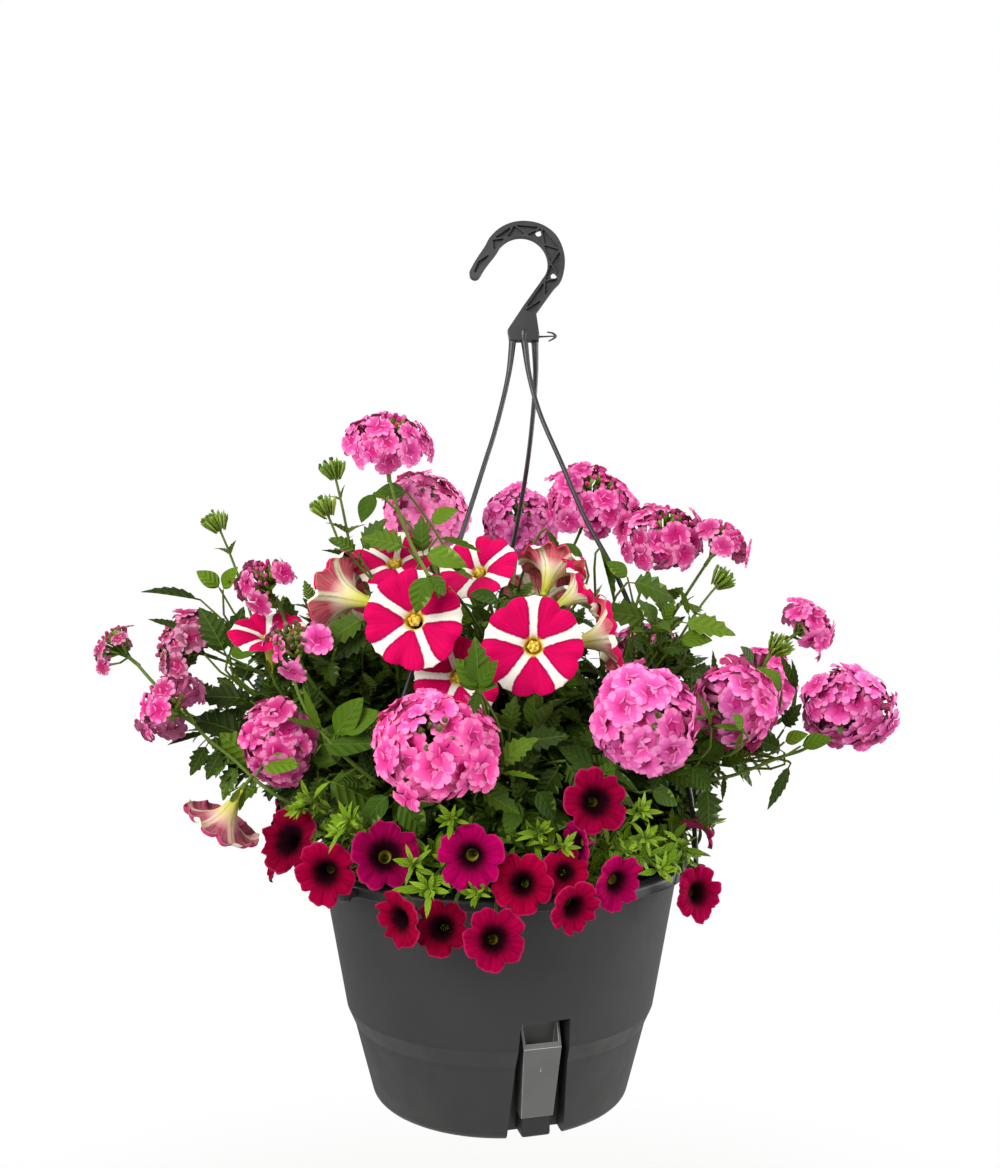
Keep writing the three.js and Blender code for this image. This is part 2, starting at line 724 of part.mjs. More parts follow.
// A calibrachoa spray is one trailing stem with its flowers: the azimuth of its root on the rim and,
// for each flower, [place of its mouth, azimuth, elevation, radius].
const CALIBRACHOA_SPRAYS = [
  { root: -56, flowers: [[[-124, -115, 188], -25, 10, 19], [[-99, -132, 172], -15, 5, 18]] },
  { root: -30, flowers: [[[-61, -143, 184], -5, 15, 19], [[-54, -150, 151], -40, -10, 15]] },
  { root: -8, flowers: [[[-16, -152, 186], 0, 10, 18], [[-32, -148, 148], -5, 5, 14]] },
  { root: 0, flowers: [[[-2, -158, 143], 0, 8, 17]] },
  { root: 12, flowers: [[[15, -150, 171], 0, 5, 15], [[43, -150, 163], 12, 0, 16]] },
  { root: 30, flowers: [[[67, -136, 168], 35, -15, 16]] },
  { root: 24, flowers: [[[42, -136, 190], -60, 0, 12], [[53, -142, 214], 5, 8, 18]] },
  { root: 66, flowers: [[[132, -46, 184], 85, 5, 17], [[122, -76, 146], 25, 0, 16]] },
  { root: 120, flowers: [[[130, 74, 172], 120, 10, 18], [[96, 118, 160], 140, 0, 18]] },
  { root: 165, flowers: [[[40, 148, 170], 165, 10, 18], [[-8, 154, 158], 180, 0, 18]] },
  { root: 215, flowers: [[[-88, 124, 172], 215, 10, 18], [[-122, 92, 158], 232, 0, 18]] },
  { root: 268, flowers: [[[-152, 12, 172], 266, 5, 18], [[-148, -36, 160], 286, 0, 17]] },
];

const makeSpray = ({ root, flowers }, grow) => {
  const start = onCircle(root, RIM_LEAVES.radius, RIM_LEAVES.z);
  const heads = flowers.map(([at, azimuth, elevation, radius]) => {
    const facing = direction(azimuth, elevation);
    const depth = radius * FUNNEL_DEPTHS.calibrachoa;
    const foot = vector(at).addScaledVector(facing, 1 - depth);
    return { solid: placed(trumpet(radius, depth, LIPS.calibrachoa, grow), at, facing), foot };
  });
  const route = new THREE.CatmullRomCurve3([start, ...heads.map(({ foot }) => foot)]);
  const stem = rod(route, STEM_RADII.calibrachoa + grow, 4, 4 * heads.length);
  return heads.reduce((all, { solid }) => all.add(solid), stem);
};

// ---- The basket ----
const number = (i) => String(i + 1).padStart(2, "0");

const pot = new THREE.Group();
addMesh(pot, "pot", makePot(), anthracite);
addMesh(pot, "filler_spout", makeSpout(), greyPlastic);
addMesh(pot, "reservoir_plate", makePlate(), blackPlastic);
addMesh(pot, "potting_soil", makeSoil(), soilBrown);

const hanger = new THREE.Group();
addMesh(hanger, "hanger_hook", makeHook(), blackPlastic);
for (const side of Object.keys(STRANDS)) {
  addMesh(hanger, `hanger_strand_${side}`, makeStrand(side), blackPlastic);
}

// The plants are added in turn, each kept clear of the soil, the strands and all that was added before it.
const plants = new THREE.Group();
let taken = Object.keys(STRANDS)
  .map((side) => makeStrand(side, CLEARANCE))
  .reduce((all, solid) => all.add(solid), makeSoil(CLEARANCE));
const addPlant = (name, shape, material) => {
  addMesh(plants, name, largestPiece(shape(0).subtract(taken)), material);
  taken = taken.add(shape(CLEARANCE));
};
addPlant("leaves_middle", leavesInMiddle, leafGreen);
addPlant("leaves_on_rim", leavesOnRim, leafGreen);
for (const side of Object.keys(SIDE_LEAVES)) {
  addPlant(`leaves_${side}`, (grow) => leavesAtSide(side, grow), leafGreen);
}
const addFlowers = (name, list, make, material) =>
  list.forEach((flower, i) => addPlant(`${name}_${number(i)}`, (grow) => make(flower, grow), material));
addFlowers("petunia_flower", PETUNIAS, makePetunia, petuniaRed);
addFlowers("calibrachoa_spray", CALIBRACHOA_SPRAYS, makeSpray, calibrachoaMagenta);
addFlowers("verbena_head", VERBENA_HEADS, makeVerbena, verbenaPink);

const basket = new THREE.Group();
basket.add(pot, hanger, plants);
basket.position.set(-SEAT.x, 0, -SEAT.z);

const part = new THREE.Group();
part.add(basket);

export default part;
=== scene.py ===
import json
import math
import random

import bpy
import numpy as np
from mathutils import Matrix, Vector, noise

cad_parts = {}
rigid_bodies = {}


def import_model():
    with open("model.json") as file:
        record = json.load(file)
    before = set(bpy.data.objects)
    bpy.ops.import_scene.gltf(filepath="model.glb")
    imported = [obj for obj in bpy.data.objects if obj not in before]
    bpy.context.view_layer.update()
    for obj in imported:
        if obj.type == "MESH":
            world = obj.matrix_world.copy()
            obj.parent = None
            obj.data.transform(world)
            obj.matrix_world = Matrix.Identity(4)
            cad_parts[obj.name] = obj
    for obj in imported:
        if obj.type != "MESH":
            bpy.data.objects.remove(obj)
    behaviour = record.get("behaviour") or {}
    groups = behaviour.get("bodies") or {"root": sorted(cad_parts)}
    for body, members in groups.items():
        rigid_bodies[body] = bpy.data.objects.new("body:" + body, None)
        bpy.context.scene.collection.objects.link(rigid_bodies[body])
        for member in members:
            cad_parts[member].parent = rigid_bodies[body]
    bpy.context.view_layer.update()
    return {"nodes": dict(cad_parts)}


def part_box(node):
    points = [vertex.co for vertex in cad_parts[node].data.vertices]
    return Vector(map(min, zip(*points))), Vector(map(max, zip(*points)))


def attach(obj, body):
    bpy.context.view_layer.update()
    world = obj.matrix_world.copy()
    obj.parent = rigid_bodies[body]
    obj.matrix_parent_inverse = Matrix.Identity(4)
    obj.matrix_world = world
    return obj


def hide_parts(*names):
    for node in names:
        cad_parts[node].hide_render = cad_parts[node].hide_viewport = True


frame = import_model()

# ---- The studio ----
# The camera stands level with the middle of the basket, 800 mm from the pot's axis, as for the photograph.
# The backdrop is white all round, the floor is pale and well below the hanging pot, and the light is soft.
MM = 0.001
soil_low, soil_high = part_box("potting_soil")
POT_FOOT = np.array([(soil_low.x + soil_high.x) / 2, 0.0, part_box("pot")[0].z])
PICTURE_HEIGHT = 1168
FOCAL_PIXELS = 1195
EYE = (0, -800, 334)
AIM = (0, 0, 260)
# Place, size and power, in metres and watts.
SOFTBOXES = {
    "key_softbox": ((-0.9, -1.3, 0.35), 1.1, 34),
    "fill_softbox": ((1.2, -1.0, -0.1), 1.2, 12),
    "top_softbox": ((0.1, 0.3, 1.3), 1.2, 18),
    "left_edge_softbox": ((-1.5, 0.45, -0.15), 0.9, 9),
    "right_edge_softbox": ((1.4, 0.35, -0.2), 1.0, 19),
}
BACKDROP, GLOW = 1.0, 0.36
FLOOR_DROP = 420
FLOOR_RADIUS = 1100
FLOOR_FADE = [(0.3, 0.0), (0.95, 1.0)]
scene = bpy.context.scene


def in_scene(points):
    """Places in the basket's own frame (millimetres from the middle of the pot's foot) as scene places."""
    return np.asarray(points, float) * MM + POT_FOOT


def circle(radius, count, x=0.0, y=0.0):
    """Evenly spaced places round a circle."""
    turns = [2 * math.pi * i / count for i in range(count)]
    return [(x + radius * math.cos(t), y + radius * math.sin(t)) for t in turns]


def linear(code):
    """A colour socket's value from a six-digit colour code."""
    shares = [int(code[i : i + 2], 16) / 255 for i in (0, 2, 4)]
    return [s / 12.92 if s <= 0.04045 else ((s + 0.055) / 1.055) ** 2.4 for s in shares] + [1.0]


def put(name, data):
    """A new object in the scene."""
    obj = bpy.data.objects.new(name, data)
    scene.collection.objects.link(obj)
    return obj


class Nodes:
    """A node tree that is built up node by node. Colours are values, sockets or six-digit codes."""

    def __init__(self, tree):
        self.tree = tree
        tree.nodes.clear()

    def add(self, kind, sockets=None, **settings):
        node = self.tree.nodes.new(kind)
        for name, value in settings.items():
            setattr(node, name, value)
        for key, value in (sockets or {}).items():
            if isinstance(value, bpy.types.Node):
                value = value.outputs[0]
            if isinstance(value, bpy.types.NodeSocket):
                self.tree.links.new(value, node.inputs[key])
            else:
                node.inputs[key].default_value = value
        return node

    def math(self, operation, first, second=0.0):
        return self.add("ShaderNodeMath", {0: first, 1: second}, operation=operation)

    def plus(self, first, second):
        return self.math("ADD", first, second)

    def minus(self, first, second):
        return self.math("SUBTRACT", first, second)

    def times(self, first, second):
        return self.math("MULTIPLY", first, second)

    def off_half(self, value):
        """How far a number is from a half."""
        return self.math("ABSOLUTE", self.minus(value, 0.5))

    def mixed(self, share, first, second, blend="MIX"):
        first, second = (linear(colour) if isinstance(colour, str) else colour for colour in (first, second))
        colours = {0: share, 6: first, 7: second}
        return self.add("ShaderNodeMix", colours, data_type="RGBA", blend_type=blend).outputs[2]

    def ramp(self, factor, stops, smooth=False):
        node = self.add("ShaderNodeValToRGB", {0: factor})
        node.color_ramp.interpolation = "EASE" if smooth else "LINEAR"
        elements = node.color_ramp.elements
        while len(elements) < len(stops):
            elements.new(0.5)
        for element, (place, colour) in zip(elements, stops):
            element.position = place
            element.color = linear(colour) if isinstance(colour, str) else (colour, colour, colour, 1)
        return node.outputs[0]

    def family(self, factor, colours):
        """A row of colours at even steps."""
        return self.ramp(factor, [(k / (len(colours) - 1), colour) for k, colour in enumerate(colours)])

    def over(self, base, colour, factor, *stops, smooth=False):
        """Lays a colour over a base by (place, share) stops on a factor."""
        return self.mixed(self.ramp(factor, stops, smooth), base, colour)

    def place(self):
        return self.add("ShaderNodeTexCoord").outputs["Object"]

    def on_surface(self):
        """The two numbers of the piece's own UV map."""
        return self.add("ShaderNodeSeparateXYZ", {0: self.add("ShaderNodeUVMap")}).outputs[:2]

    def grain(self, scale, detail, rough=0.55, place=None):
        sockets = {"Vector": place or self.place(), "Scale": scale, "Detail": detail, "Roughness": rough}
        return self.add("ShaderNodeTexNoise", sockets).outputs[0]

    def attribute(self, name):
        return self.add("ShaderNodeAttribute", attribute_name=name).outputs["Fac"]

    def finished(self, colour, height=None, depth=0.0, strength=1.0, rough=None):
        """Links a colour, a bump height in metres and a roughness to the shader, and gives the material."""
        self.tree.links.new(colour, self.shader.inputs["Base Color"])
        if rough is not None:
            self.tree.links.new(rough, self.shader.inputs["Roughness"])
        if height is not None:
            bump = self.add("ShaderNodeBump", {"Height": height, "Distance": depth, "Strength": strength})
            self.tree.links.new(bump.outputs[0], self.shader.inputs["Normal"])
        return self.finish


def new_material(name, **sockets):
    """The nodes of a new material with a Principled shader."""
    finish = bpy.data.materials.new(name)
    finish.use_nodes = True
    nodes = Nodes(finish.node_tree)
    values = {key.replace("_", " ").title().replace("Ior", "IOR"): value for key, value in sockets.items()}
    nodes.finish = finish
    nodes.shader = nodes.add("ShaderNodeBsdfPrincipled", values)
    nodes.output = nodes.add("ShaderNodeOutputMaterial", {"Surface": nodes.shader})
    return nodes


scene.view_settings.view_transform = "Standard"
camera_data = bpy.data.cameras.new("camera")
camera_data.lens = FOCAL_PIXELS * camera_data.sensor_width / PICTURE_HEIGHT
camera_data.clip_start = 0.01
camera = put("camera", camera_data)
camera.location = in_scene(EYE)
camera.rotation_euler = (math.pi / 2, 0, 0)
scene.camera = camera

for name, (place, size, power) in SOFTBOXES.items():
    light = bpy.data.lights.new(name, "AREA")
    light.shape = "DISK"
    light.size = size
    light.energy = power
    softbox = put(name, light)
    softbox.location = place
    softbox.rotation_euler = (Vector(in_scene(AIM)) - Vector(place)).to_track_quat("-Z", "Y").to_euler()
    softbox.visible_camera = False

world = bpy.data.worlds.new("white_studio")
world.use_nodes = True
sky = Nodes(world.node_tree)
seen = sky.add("ShaderNodeLightPath").outputs["Is Camera Ray"]
white = sky.add("ShaderNodeBackground", {"Color": (1, 1, 1, 1), "Strength": BACKDROP})
glow = sky.add("ShaderNodeBackground", {"Color": (1, 1, 1, 1), "Strength": GLOW})
sky.add("ShaderNodeOutputWorld", {"Surface": sky.add("ShaderNodeMixShader", {0: seen, 1: glow, 2: white})})
scene.world = world

nodes = new_material("pale_floor", base_color=linear("d6d5d3"), roughness=0.9)
distance = nodes.add("ShaderNodeVectorMath", {0: nodes.place()}, operation="LENGTH").outputs["Value"]
fade = nodes.ramp(nodes.math("DIVIDE", distance, FLOOR_RADIUS * MM), FLOOR_FADE, smooth=True)
clear = nodes.add("ShaderNodeBsdfTransparent")
faded = nodes.add("ShaderNodeMixShader", {0: fade, 1: nodes.shader, 2: clear})
nodes.tree.links.new(faded.outputs[0], nodes.output.inputs[0])
floor_mesh = bpy.data.meshes.new("studio_floor")
rim = circle(FLOOR_RADIUS * MM, 96)
floor_mesh.from_pydata([(x, y, 0) for x, y in rim], [], [range(len(rim))])
floor_mesh.materials.append(nodes.finish)
studio_floor = put("studio_floor", floor_mesh)
studio_floor.location = in_scene((0, 0, -FLOOR_DROP))

# ---- Pot ----
# One injection moulding in anthracite polypropylene: a rolled rim, a wall that steps in above the reservoir,
# a foot ring, a niche for the filler spout with a block at its foot, and three lugs for the hanger.
RIM_RADIUS = 125
RIM_WIDTH = 9.5
POT_HEIGHT = 155
SHOULDER = (117.5, 147)
STEP_TOP = (101.5, 60)
STEP_FOOT = (96.5, 49)
FOOT_RADIUS = 83.5
FOOT_FILLET = 6
FOOT_RING_WIDTH = 3.5
FLOOR_TOP = 11
WALL = 2.2
LINING_INSET = 0.4
LATHE_STEPS = 180
SPOUT_AZIMUTH = 15
NICHE_TOP = 78
NICHE_WIDTHS = (36, 30)
NICHE_DEPTHS = (68, 84)
BLOCK_WIDTH = 18
BLOCK_LEVELS = (1.5, 14)
NECK_LEVELS = (14.3, 24.3)
NECK_HALF = 7
LUG_RADIUS = 130
LUG_TOP = 153.5
LUG_THICKNESS = 4.5
LUG_WIDTH = 12
LUG_CORNER = 5.4
LUG_HOLE = 3
STRAND_AZIMUTHS = {"left": SPOUT_AZIMUTH - 60, "right": SPOUT_AZIMUTH + 60, "back": SPOUT_AZIMUTH + 180}
# Painted shade on the pot: how much darker the plastic is painted at each height, most at the foot and again
# over the band of the step, and the tone that it goes to.
PAINTED_SHADE_HEIGHT = 125
PAINTED_SHADE_SHARES = [(0, 0.6), (45, 0.24), (48.75, 0.54), (58.75, 0.54), (62.5, 0.1), (PAINTED_SHADE_HEIGHT, 0.0)]
PAINTED_SHADE_TONE = (0.003, 0.003, 0.003, 1)
MOULD_GRAIN = 0.00012


def solid(name, points, faces, smooth=True):
    """A mesh object from places in the basket's frame."""
    mesh = bpy.data.meshes.new(name)
    mesh.from_pydata([tuple(p) for p in in_scene(points)], [], faces)
    if smooth:
        mesh.shade_smooth()
    return put(name, mesh)


def plain(obj, name=None):
    """The mesh that an object's modifiers make of it, as an object without modifiers in its place."""
    name = name or obj.name
    graph = bpy.context.evaluated_depsgraph_get()
    shaped = obj.evaluated_get(graph)
    mesh = bpy.data.meshes.new_from_object(shaped, preserve_all_data_layers=True, depsgraph=graph)
    bpy.data.objects.remove(obj)
    return put(name, mesh)


def combined(body, tool, operation):
    """Joins, cuts or keeps what a body shares with a tool, which is used up."""
    modifier = body.modifiers.new("combine", "BOOLEAN")
    modifier.operation = operation
    modifier.object = tool
    modifier.solver = "EXACT"
    made = plain(body)
    bpy.data.objects.remove(tool)
    return made


def with_soft_edges(body, width, edge_finish=None, angle=38, segments=2):
    """Rounds a moulding's edges by a few tenths of a millimetre, in a finish of their own if one is given."""
    if edge_finish:
        body.data.materials.append(edge_finish)
    body.data.shade_smooth()
    bevel = body.modifiers.new("soft_edges", "BEVEL")
    bevel.width = width * MM
    bevel.segments = segments
    bevel.limit_method = "ANGLE"
    bevel.angle_limit = math.radians(angle)
    bevel.material = 1 if edge_finish else -1
    body.modifiers.new("even_shading", "WEIGHTED_NORMAL")
    return plain(body)


def settled(piece, node):
    """Hands a finished piece over: it rides with the basket and stands for its node."""
    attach(piece, "root")
    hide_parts(node)


def filleted(corners, steps=6):
    """An outline whose corners (across, up, radius) are rounded off."""
    outline = []
    for i, (x, y, radius) in enumerate(corners):
        here = Vector((x, y))
        back = (Vector(corners[i - 1][:2]) - here).normalized()
        on = (Vector(corners[(i + 1) % len(corners)][:2]) - here).normalized()
        angle = back.angle(on)
        if radius == 0 or angle > math.radians(178):
            outline.append((x, y))
            continue
        middle = here + (back + on).normalized() * radius / math.sin(angle / 2)
        start = here + back * radius / math.tan(angle / 2) - middle
        end = here + on * radius / math.tan(angle / 2) - middle
        sweep = start.angle_signed(end)
        for k in range(steps + 1):
            spoke = Matrix.Rotation(-sweep * k / steps, 2) @ start
            outline.append(tuple(middle + spoke))
    return outline


def lathed(outline, steps, closed=True):
    """An outline of (radius, z) turned about Z: its points, and its faces with their steps and next ring."""
    points, rings, faces = [], [], []
    for radius, z in outline:
        count = 1 if radius < 1e-6 else steps
        rings.append((len(points), count))
        points += [(x, y, z) for x, y in circle(radius, count)]
    for row, ((first, count), (second, other)) in enumerate(zip(rings, rings[1:] + rings[: int(closed)])):
        for i in range(steps if max(count, other) > 1 else 0):
            low = [first + i % count, first + (i + 1) % count]
            high = [second + (i + 1) % other, second + i % other]
            faces.append((tuple(dict.fromkeys(low + high)), i, row, second))
    return points, faces


def turned(name, outline, steps=LATHE_STEPS):
    """A closed outline turned about the pot's axis."""
    points, faces = lathed(outline, steps)
    return solid(name, points, [face[0] for face in faces])


def turned_to(points, azimuth):
    """Places that were drawn at the front of the pot, turned about its axis to an azimuth."""
    a = math.radians(azimuth)
    spin = np.array([[math.cos(a), -math.sin(a), 0], [math.sin(a), math.cos(a), 0], [0, 0, 1]])
    return np.asarray(points, float) @ spin.T


BLOCK_FACES = [(0, 1, 5, 4), (1, 2, 6, 5), (2, 3, 7, 6), (3, 0, 4, 7), (3, 2, 1, 0), (4, 5, 6, 7)]


def tapered_block(name, levels):
    """A six-sided block on the spout's side of the pot, from two levels of (z, half width, outer, inner)."""
    corners = []
    for z, half, outer, inner in levels:
        corners += [(-half, -outer, z), (half, -outer, z), (half, -inner, z), (-half, -inner, z)]
    return solid(name, turned_to(corners, SPOUT_AZIMUTH), BLOCK_FACES, smooth=False)


def wall_radius(z):
    stations = [(FOOT_RADIUS, FOOT_FILLET), STEP_FOOT, STEP_TOP, SHOULDER]
    return float(np.interp(z, [s[1] for s in stations], [s[0] for s in stations]))


def niche_block(name, grow, foot):
    """The space of the niche, grown by a wall or a clearance."""
    levels = []
    for z in (foot, NICHE_TOP + grow):
        half = np.interp(z, (0, NICHE_TOP), NICHE_WIDTHS) / 2 + grow
        inner = np.interp(z, (0, NICHE_TOP), NICHE_DEPTHS) - grow
        levels.append((z, half, RIM_RADIUS + 5, inner))
    return tapered_block(name, levels)


def neck_block(name, grow, near, far):
    """The filler spout's neck, its bore, or the hole that it goes through."""
    low, high = NECK_LEVELS
    return tapered_block(name, [(z, NECK_HALF + grow, far, near) for z in (low - grow, high + grow)])


def slab(outline, low, high):
    """An outline of (across, out) points with a thickness between two heights."""
    count = len(outline)
    points = [(x, y, z) for z in (low, high) for x, y in outline]
    sides = [(i, (i + 1) % count, (i + 1) % count + count, i + count) for i in range(count)]
    return points, sides + [tuple(reversed(range(count))), tuple(range(count, 2 * count))]


def plastic(name, colour, dusty, roughness, damp=False):
    """Moulded polypropylene: an even colour with faint flow, eroded grain, dust, and maybe painted shade that
    darkens it towards the foot and over the step.
    """
    nodes = new_material(name, specular_ior_level=0.55)
    cloud, fine = nodes.grain(18, 4), nodes.grain(1400, 2)
    colours = nodes.ramp(cloud, [(0.35, colour), (0.72, dusty)])
    colours = nodes.over(colours, dusty, fine, (0.45, 0.0), (0.85, 0.3))
    # Painted shade: darker towards the foot and over the band of the step.
    if damp:
        height = nodes.minus(nodes.add("ShaderNodeSeparateXYZ", {0: nodes.place()}).outputs[2], POT_FOOT[2])
        stops = [(z / PAINTED_SHADE_HEIGHT, share) for z, share in PAINTED_SHADE_SHARES]
        colours = nodes.over(colours, PAINTED_SHADE_TONE, nodes.times(height, 1 / (PAINTED_SHADE_HEIGHT * MM)), *stops)
    rough = nodes.ramp(nodes.grain(60, 4), [(0.3, roughness - 0.06), (0.7, roughness + 0.08)])
    return nodes.finished(colours, fine, MOULD_GRAIN, 0.35, rough)


# The pot's plastic carries the painted shade at its foot and step.
pot_plastic = plastic("anthracite_plastic", "1d1d1d", "242424", 0.5, damp=True)

# Radius, height and fillet of each corner.
outer = [
    (FOOT_RADIUS, 0, FOOT_FILLET),
    (*STEP_FOOT, 9),
    (*STEP_TOP, 5),
    (*SHOULDER, 0.8),
    (RIM_RADIUS, SHOULDER[1] + 1, 1),
    (RIM_RADIUS, POT_HEIGHT, 2.4),
    (RIM_RADIUS - RIM_WIDTH, POT_HEIGHT, 1.2),
]
ring_inside = FOOT_RADIUS - FOOT_FILLET - FOOT_RING_WIDTH
inner = [
    (SHOULDER[0] - WALL, SHOULDER[1], 1),
    (STEP_TOP[0] - WALL, STEP_TOP[1], 3),
    (STEP_FOOT[0] - WALL, STEP_FOOT[1], 3),
    (wall_radius(FLOOR_TOP) - WALL, FLOOR_TOP, 3),
    (0, FLOOR_TOP, 0),
    (0, FLOOR_TOP - WALL, 0),
    (ring_inside, FLOOR_TOP - WALL, 1),
    (ring_inside, 0, 0.8),
]
pot = turned("pot_moulding", filleted(outer + inner))
envelope = [(0, LINING_INSET, 0), (FOOT_RADIUS - LINING_INSET, LINING_INSET, FOOT_FILLET)]
envelope += [(radius - LINING_INSET, z, 0) for radius, z in (STEP_FOOT, STEP_TOP, SHOULDER)]
envelope += [(0, SHOULDER[1], 0)]
lining = niche_block("niche_lining", WALL, LINING_INSET)
pot = combined(pot, combined(lining, turned("envelope", filleted(envelope)), "INTERSECT"), "UNION")
pot = combined(pot, niche_block("niche", 0, -5), "DIFFERENCE")
block_front = wall_radius(sum(BLOCK_LEVELS) / 2)
block_sides = [(z, BLOCK_WIDTH / 2, block_front, NICHE_DEPTHS[0] - WALL) for z in BLOCK_LEVELS]
pot = combined(pot, with_soft_edges(tapered_block("foot_block", block_sides), 1.5, segments=3), "UNION")
pot = combined(pot, neck_block("neck_hole", 0.3, 40, FOOT_RADIUS + 20), "DIFFERENCE")

lug_root, lug_end, half = RIM_RADIUS - 4, LUG_RADIUS + 6, LUG_WIDTH / 2
lug_corners = [(-half, -lug_end, LUG_CORNER), (half, -lug_end, LUG_CORNER)]
lug_corners += [(half, -lug_root, 0), (-half, -lug_root, 0)]
lug_hole = circle(LUG_HOLE, 24, 0, -LUG_RADIUS)
lug_cuts = [
    (slab(filleted(lug_corners, 8), LUG_TOP - LUG_THICKNESS, LUG_TOP), "UNION"),
    (slab(lug_hole, LUG_TOP - 3 * LUG_THICKNESS, LUG_TOP + LUG_THICKNESS), "DIFFERENCE"),
]
for azimuth in STRAND_AZIMUTHS.values():
    for (points, faces), operation in lug_cuts:
        pot = combined(pot, solid("lug", turned_to(points, azimuth), faces), operation)
pot.data.materials.append(pot_plastic)
pot = with_soft_edges(pot, 0.45)
settled(pot, "pot")

# ---- Filler spout ----
# A thin-walled chute in lighter grey polypropylene, pushed into the niche. Water goes in at its slanted mouth
# and through its neck into the reservoir. Its lips and corners carry a painted highlight in pale grey, and
# its front has a gate mark.
SPOUT_WIDTHS = (19.8, 24.4)
SPOUT_FOOT = 14.3
SPOUT_DEPTH = 12
SPOUT_WALL = 1.3
SPOUT_RADII = (wall_radius(SPOUT_FOOT), wall_radius(STEP_TOP[1] + 2))
MOUTH = (52, 76)
GATE_LEVELS = (44.5, 46, 48)
GATE_HALF = 0.4

spout_plastic = plastic("grey_plastic", "4e4e4d", "5a5a59", 0.42)
# Painted highlight: the bevels on the spout's lips and corners are a pale grey that stands for light catching
# them.
spout_edge_highlight = plastic("worn_grey_edge", "a3a3a1", "b4b4b2", 0.34)


def spout_block(name, inset, rise):
    """The chute's body, or with an inset its hollow."""
    levels = []
    for z, width, radius in zip((SPOUT_FOOT + inset, MOUTH[1] + rise), SPOUT_WIDTHS, SPOUT_RADII):
        levels.append((z, width / 2 - inset, radius - inset, radius - SPOUT_DEPTH + inset))
    return tapered_block(name, levels)


def mouth_wedge():
    """All that lies above the mouth, which rises from the front lip to the back edge."""
    past = 30
    slope = (MOUTH[1] - MOUTH[0]) / SPOUT_DEPTH
    front, back = -(STEP_TOP[0] + past), -(STEP_TOP[0] - SPOUT_DEPTH - past)
    lip, rear = MOUTH[0] - slope * past, MOUTH[1] + slope * past
    side = [(front, lip), (back, rear), (back, rear + past), (front, rear + past)]
    corners = [(x, y, z) for x in (-past, past) for y, z in side]
    return solid("mouth_wedge", turned_to(corners, SPOUT_AZIMUTH), BLOCK_FACES, smooth=False)


neck_near, neck_far = NICHE_DEPTHS[0] - 6, wall_radius(SPOUT_FOOT) - SPOUT_DEPTH / 2
spout = spout_block("filler_chute", 0, 0)
spout = combined(spout, neck_block("neck", 0, neck_near, neck_far), "UNION")
spout = combined(spout, spout_block("chute_hollow", SPOUT_WALL, 4), "DIFFERENCE")
spout = combined(spout, neck_block("neck_bore", -SPOUT_WALL, neck_near - 5, neck_far + 1), "DIFFERENCE")
spout = combined(spout, mouth_wedge(), "DIFFERENCE")
gate_low, gate_middle, gate_high = GATE_LEVELS
gate_front = np.interp(gate_middle, (SPOUT_FOOT, MOUTH[1]), SPOUT_RADII)
gate_sides = [(gate_low, GATE_HALF, gate_front, gate_front - 2)]
gate_sides += [(gate_high, GATE_HALF, gate_front + 0.5, gate_front - 2)]
spout = combined(spout, tapered_block("gate_mark", gate_sides), "UNION")
spout.data.materials.append(spout_plastic)
# The bevels take the painted highlight finish.
spout = with_soft_edges(spout, 0.5, spout_edge_highlight, angle=30)
settled(spout, "filler_spout")

# ---- Reservoir plate ----
# The black polypropylene false bottom that carries the soil over the water. It is shut in between pot and
# soil, so its plain moulded shape is kept, with the finish of the hanger's plastic.
black_plastic = plastic("black_plastic", "1f2020", "2a2b2b", 0.4)
for slot in frame["nodes"]["reservoir_plate"].material_slots:
    slot.material = black_plastic

# ---- Potting soil ----
# Moist peat mix that fills the pot to 16 mm under its rim, slightly crowned, with crumbs and a few white
# grains of perlite lying on it.
SOIL_EDGE = 139
SOIL_CROWN = 146
SOIL_GAP = 0.6
SOIL_RIM = SHOULDER[0] - WALL - SOIL_GAP
PLATE_TOP = 38.3
WICK = [(0, 13.6), (10.2, 13.6), (11.7, PLATE_TOP)]
TOP_RINGS = (0, 40, 80, SOIL_RIM - 2)
TOP_SIDES = 36

nodes = new_material("potting_mix", roughness=0.95, specular_ior_level=0.2)
tones = nodes.ramp(nodes.grain(240, 5, 0.7), [(0.3, "140d08"), (0.55, "2c1e14"), (0.8, "4a3524")])
soil_finish = nodes.finished(tones, nodes.grain(500, 6, 0.8), 0.0012, 0.9)
nodes = new_material("perlite", roughness=0.85)
tones = nodes.ramp(nodes.grain(900, 3), [(0.3, "b8b3a8"), (0.7, "e6e2d8")])
perlite_finish = nodes.finished(tones, nodes.grain(1500, 3), 0.0004)


def soil_level(radius):
    return SOIL_CROWN - (SOIL_CROWN - SOIL_EDGE) * (radius / SOIL_RIM) ** 2


soil_outline = [*WICK, (STEP_FOOT[0] - WALL - 2.2, PLATE_TOP)]
for radius, z in (STEP_FOOT, STEP_TOP, (wall_radius(SOIL_EDGE), SOIL_EDGE)):
    soil_outline.append((radius - WALL - SOIL_GAP, z))
soil_outline += [(radius, soil_level(radius)) for radius in range(108, 0, -6)] + [(0, SOIL_CROWN)]
soil = turned("soil_body", soil_outline, 120)
for vertex in soil.data.vertices:
    x, y, z = (np.array(vertex.co) - POT_FOOT) / MM
    if z > SOIL_EDGE + 0.3:
        vertex.co.z += 1.6 * noise.fractal(Vector((x, y, 0)) * 0.09, 0.6, 2.1, 5) * MM
soil = combined(soil, niche_block("soil_niche", WALL + 0.3, 0), "DIFFERENCE")
soil.data.shade_smooth()
soil.data.materials.append(soil_finish)


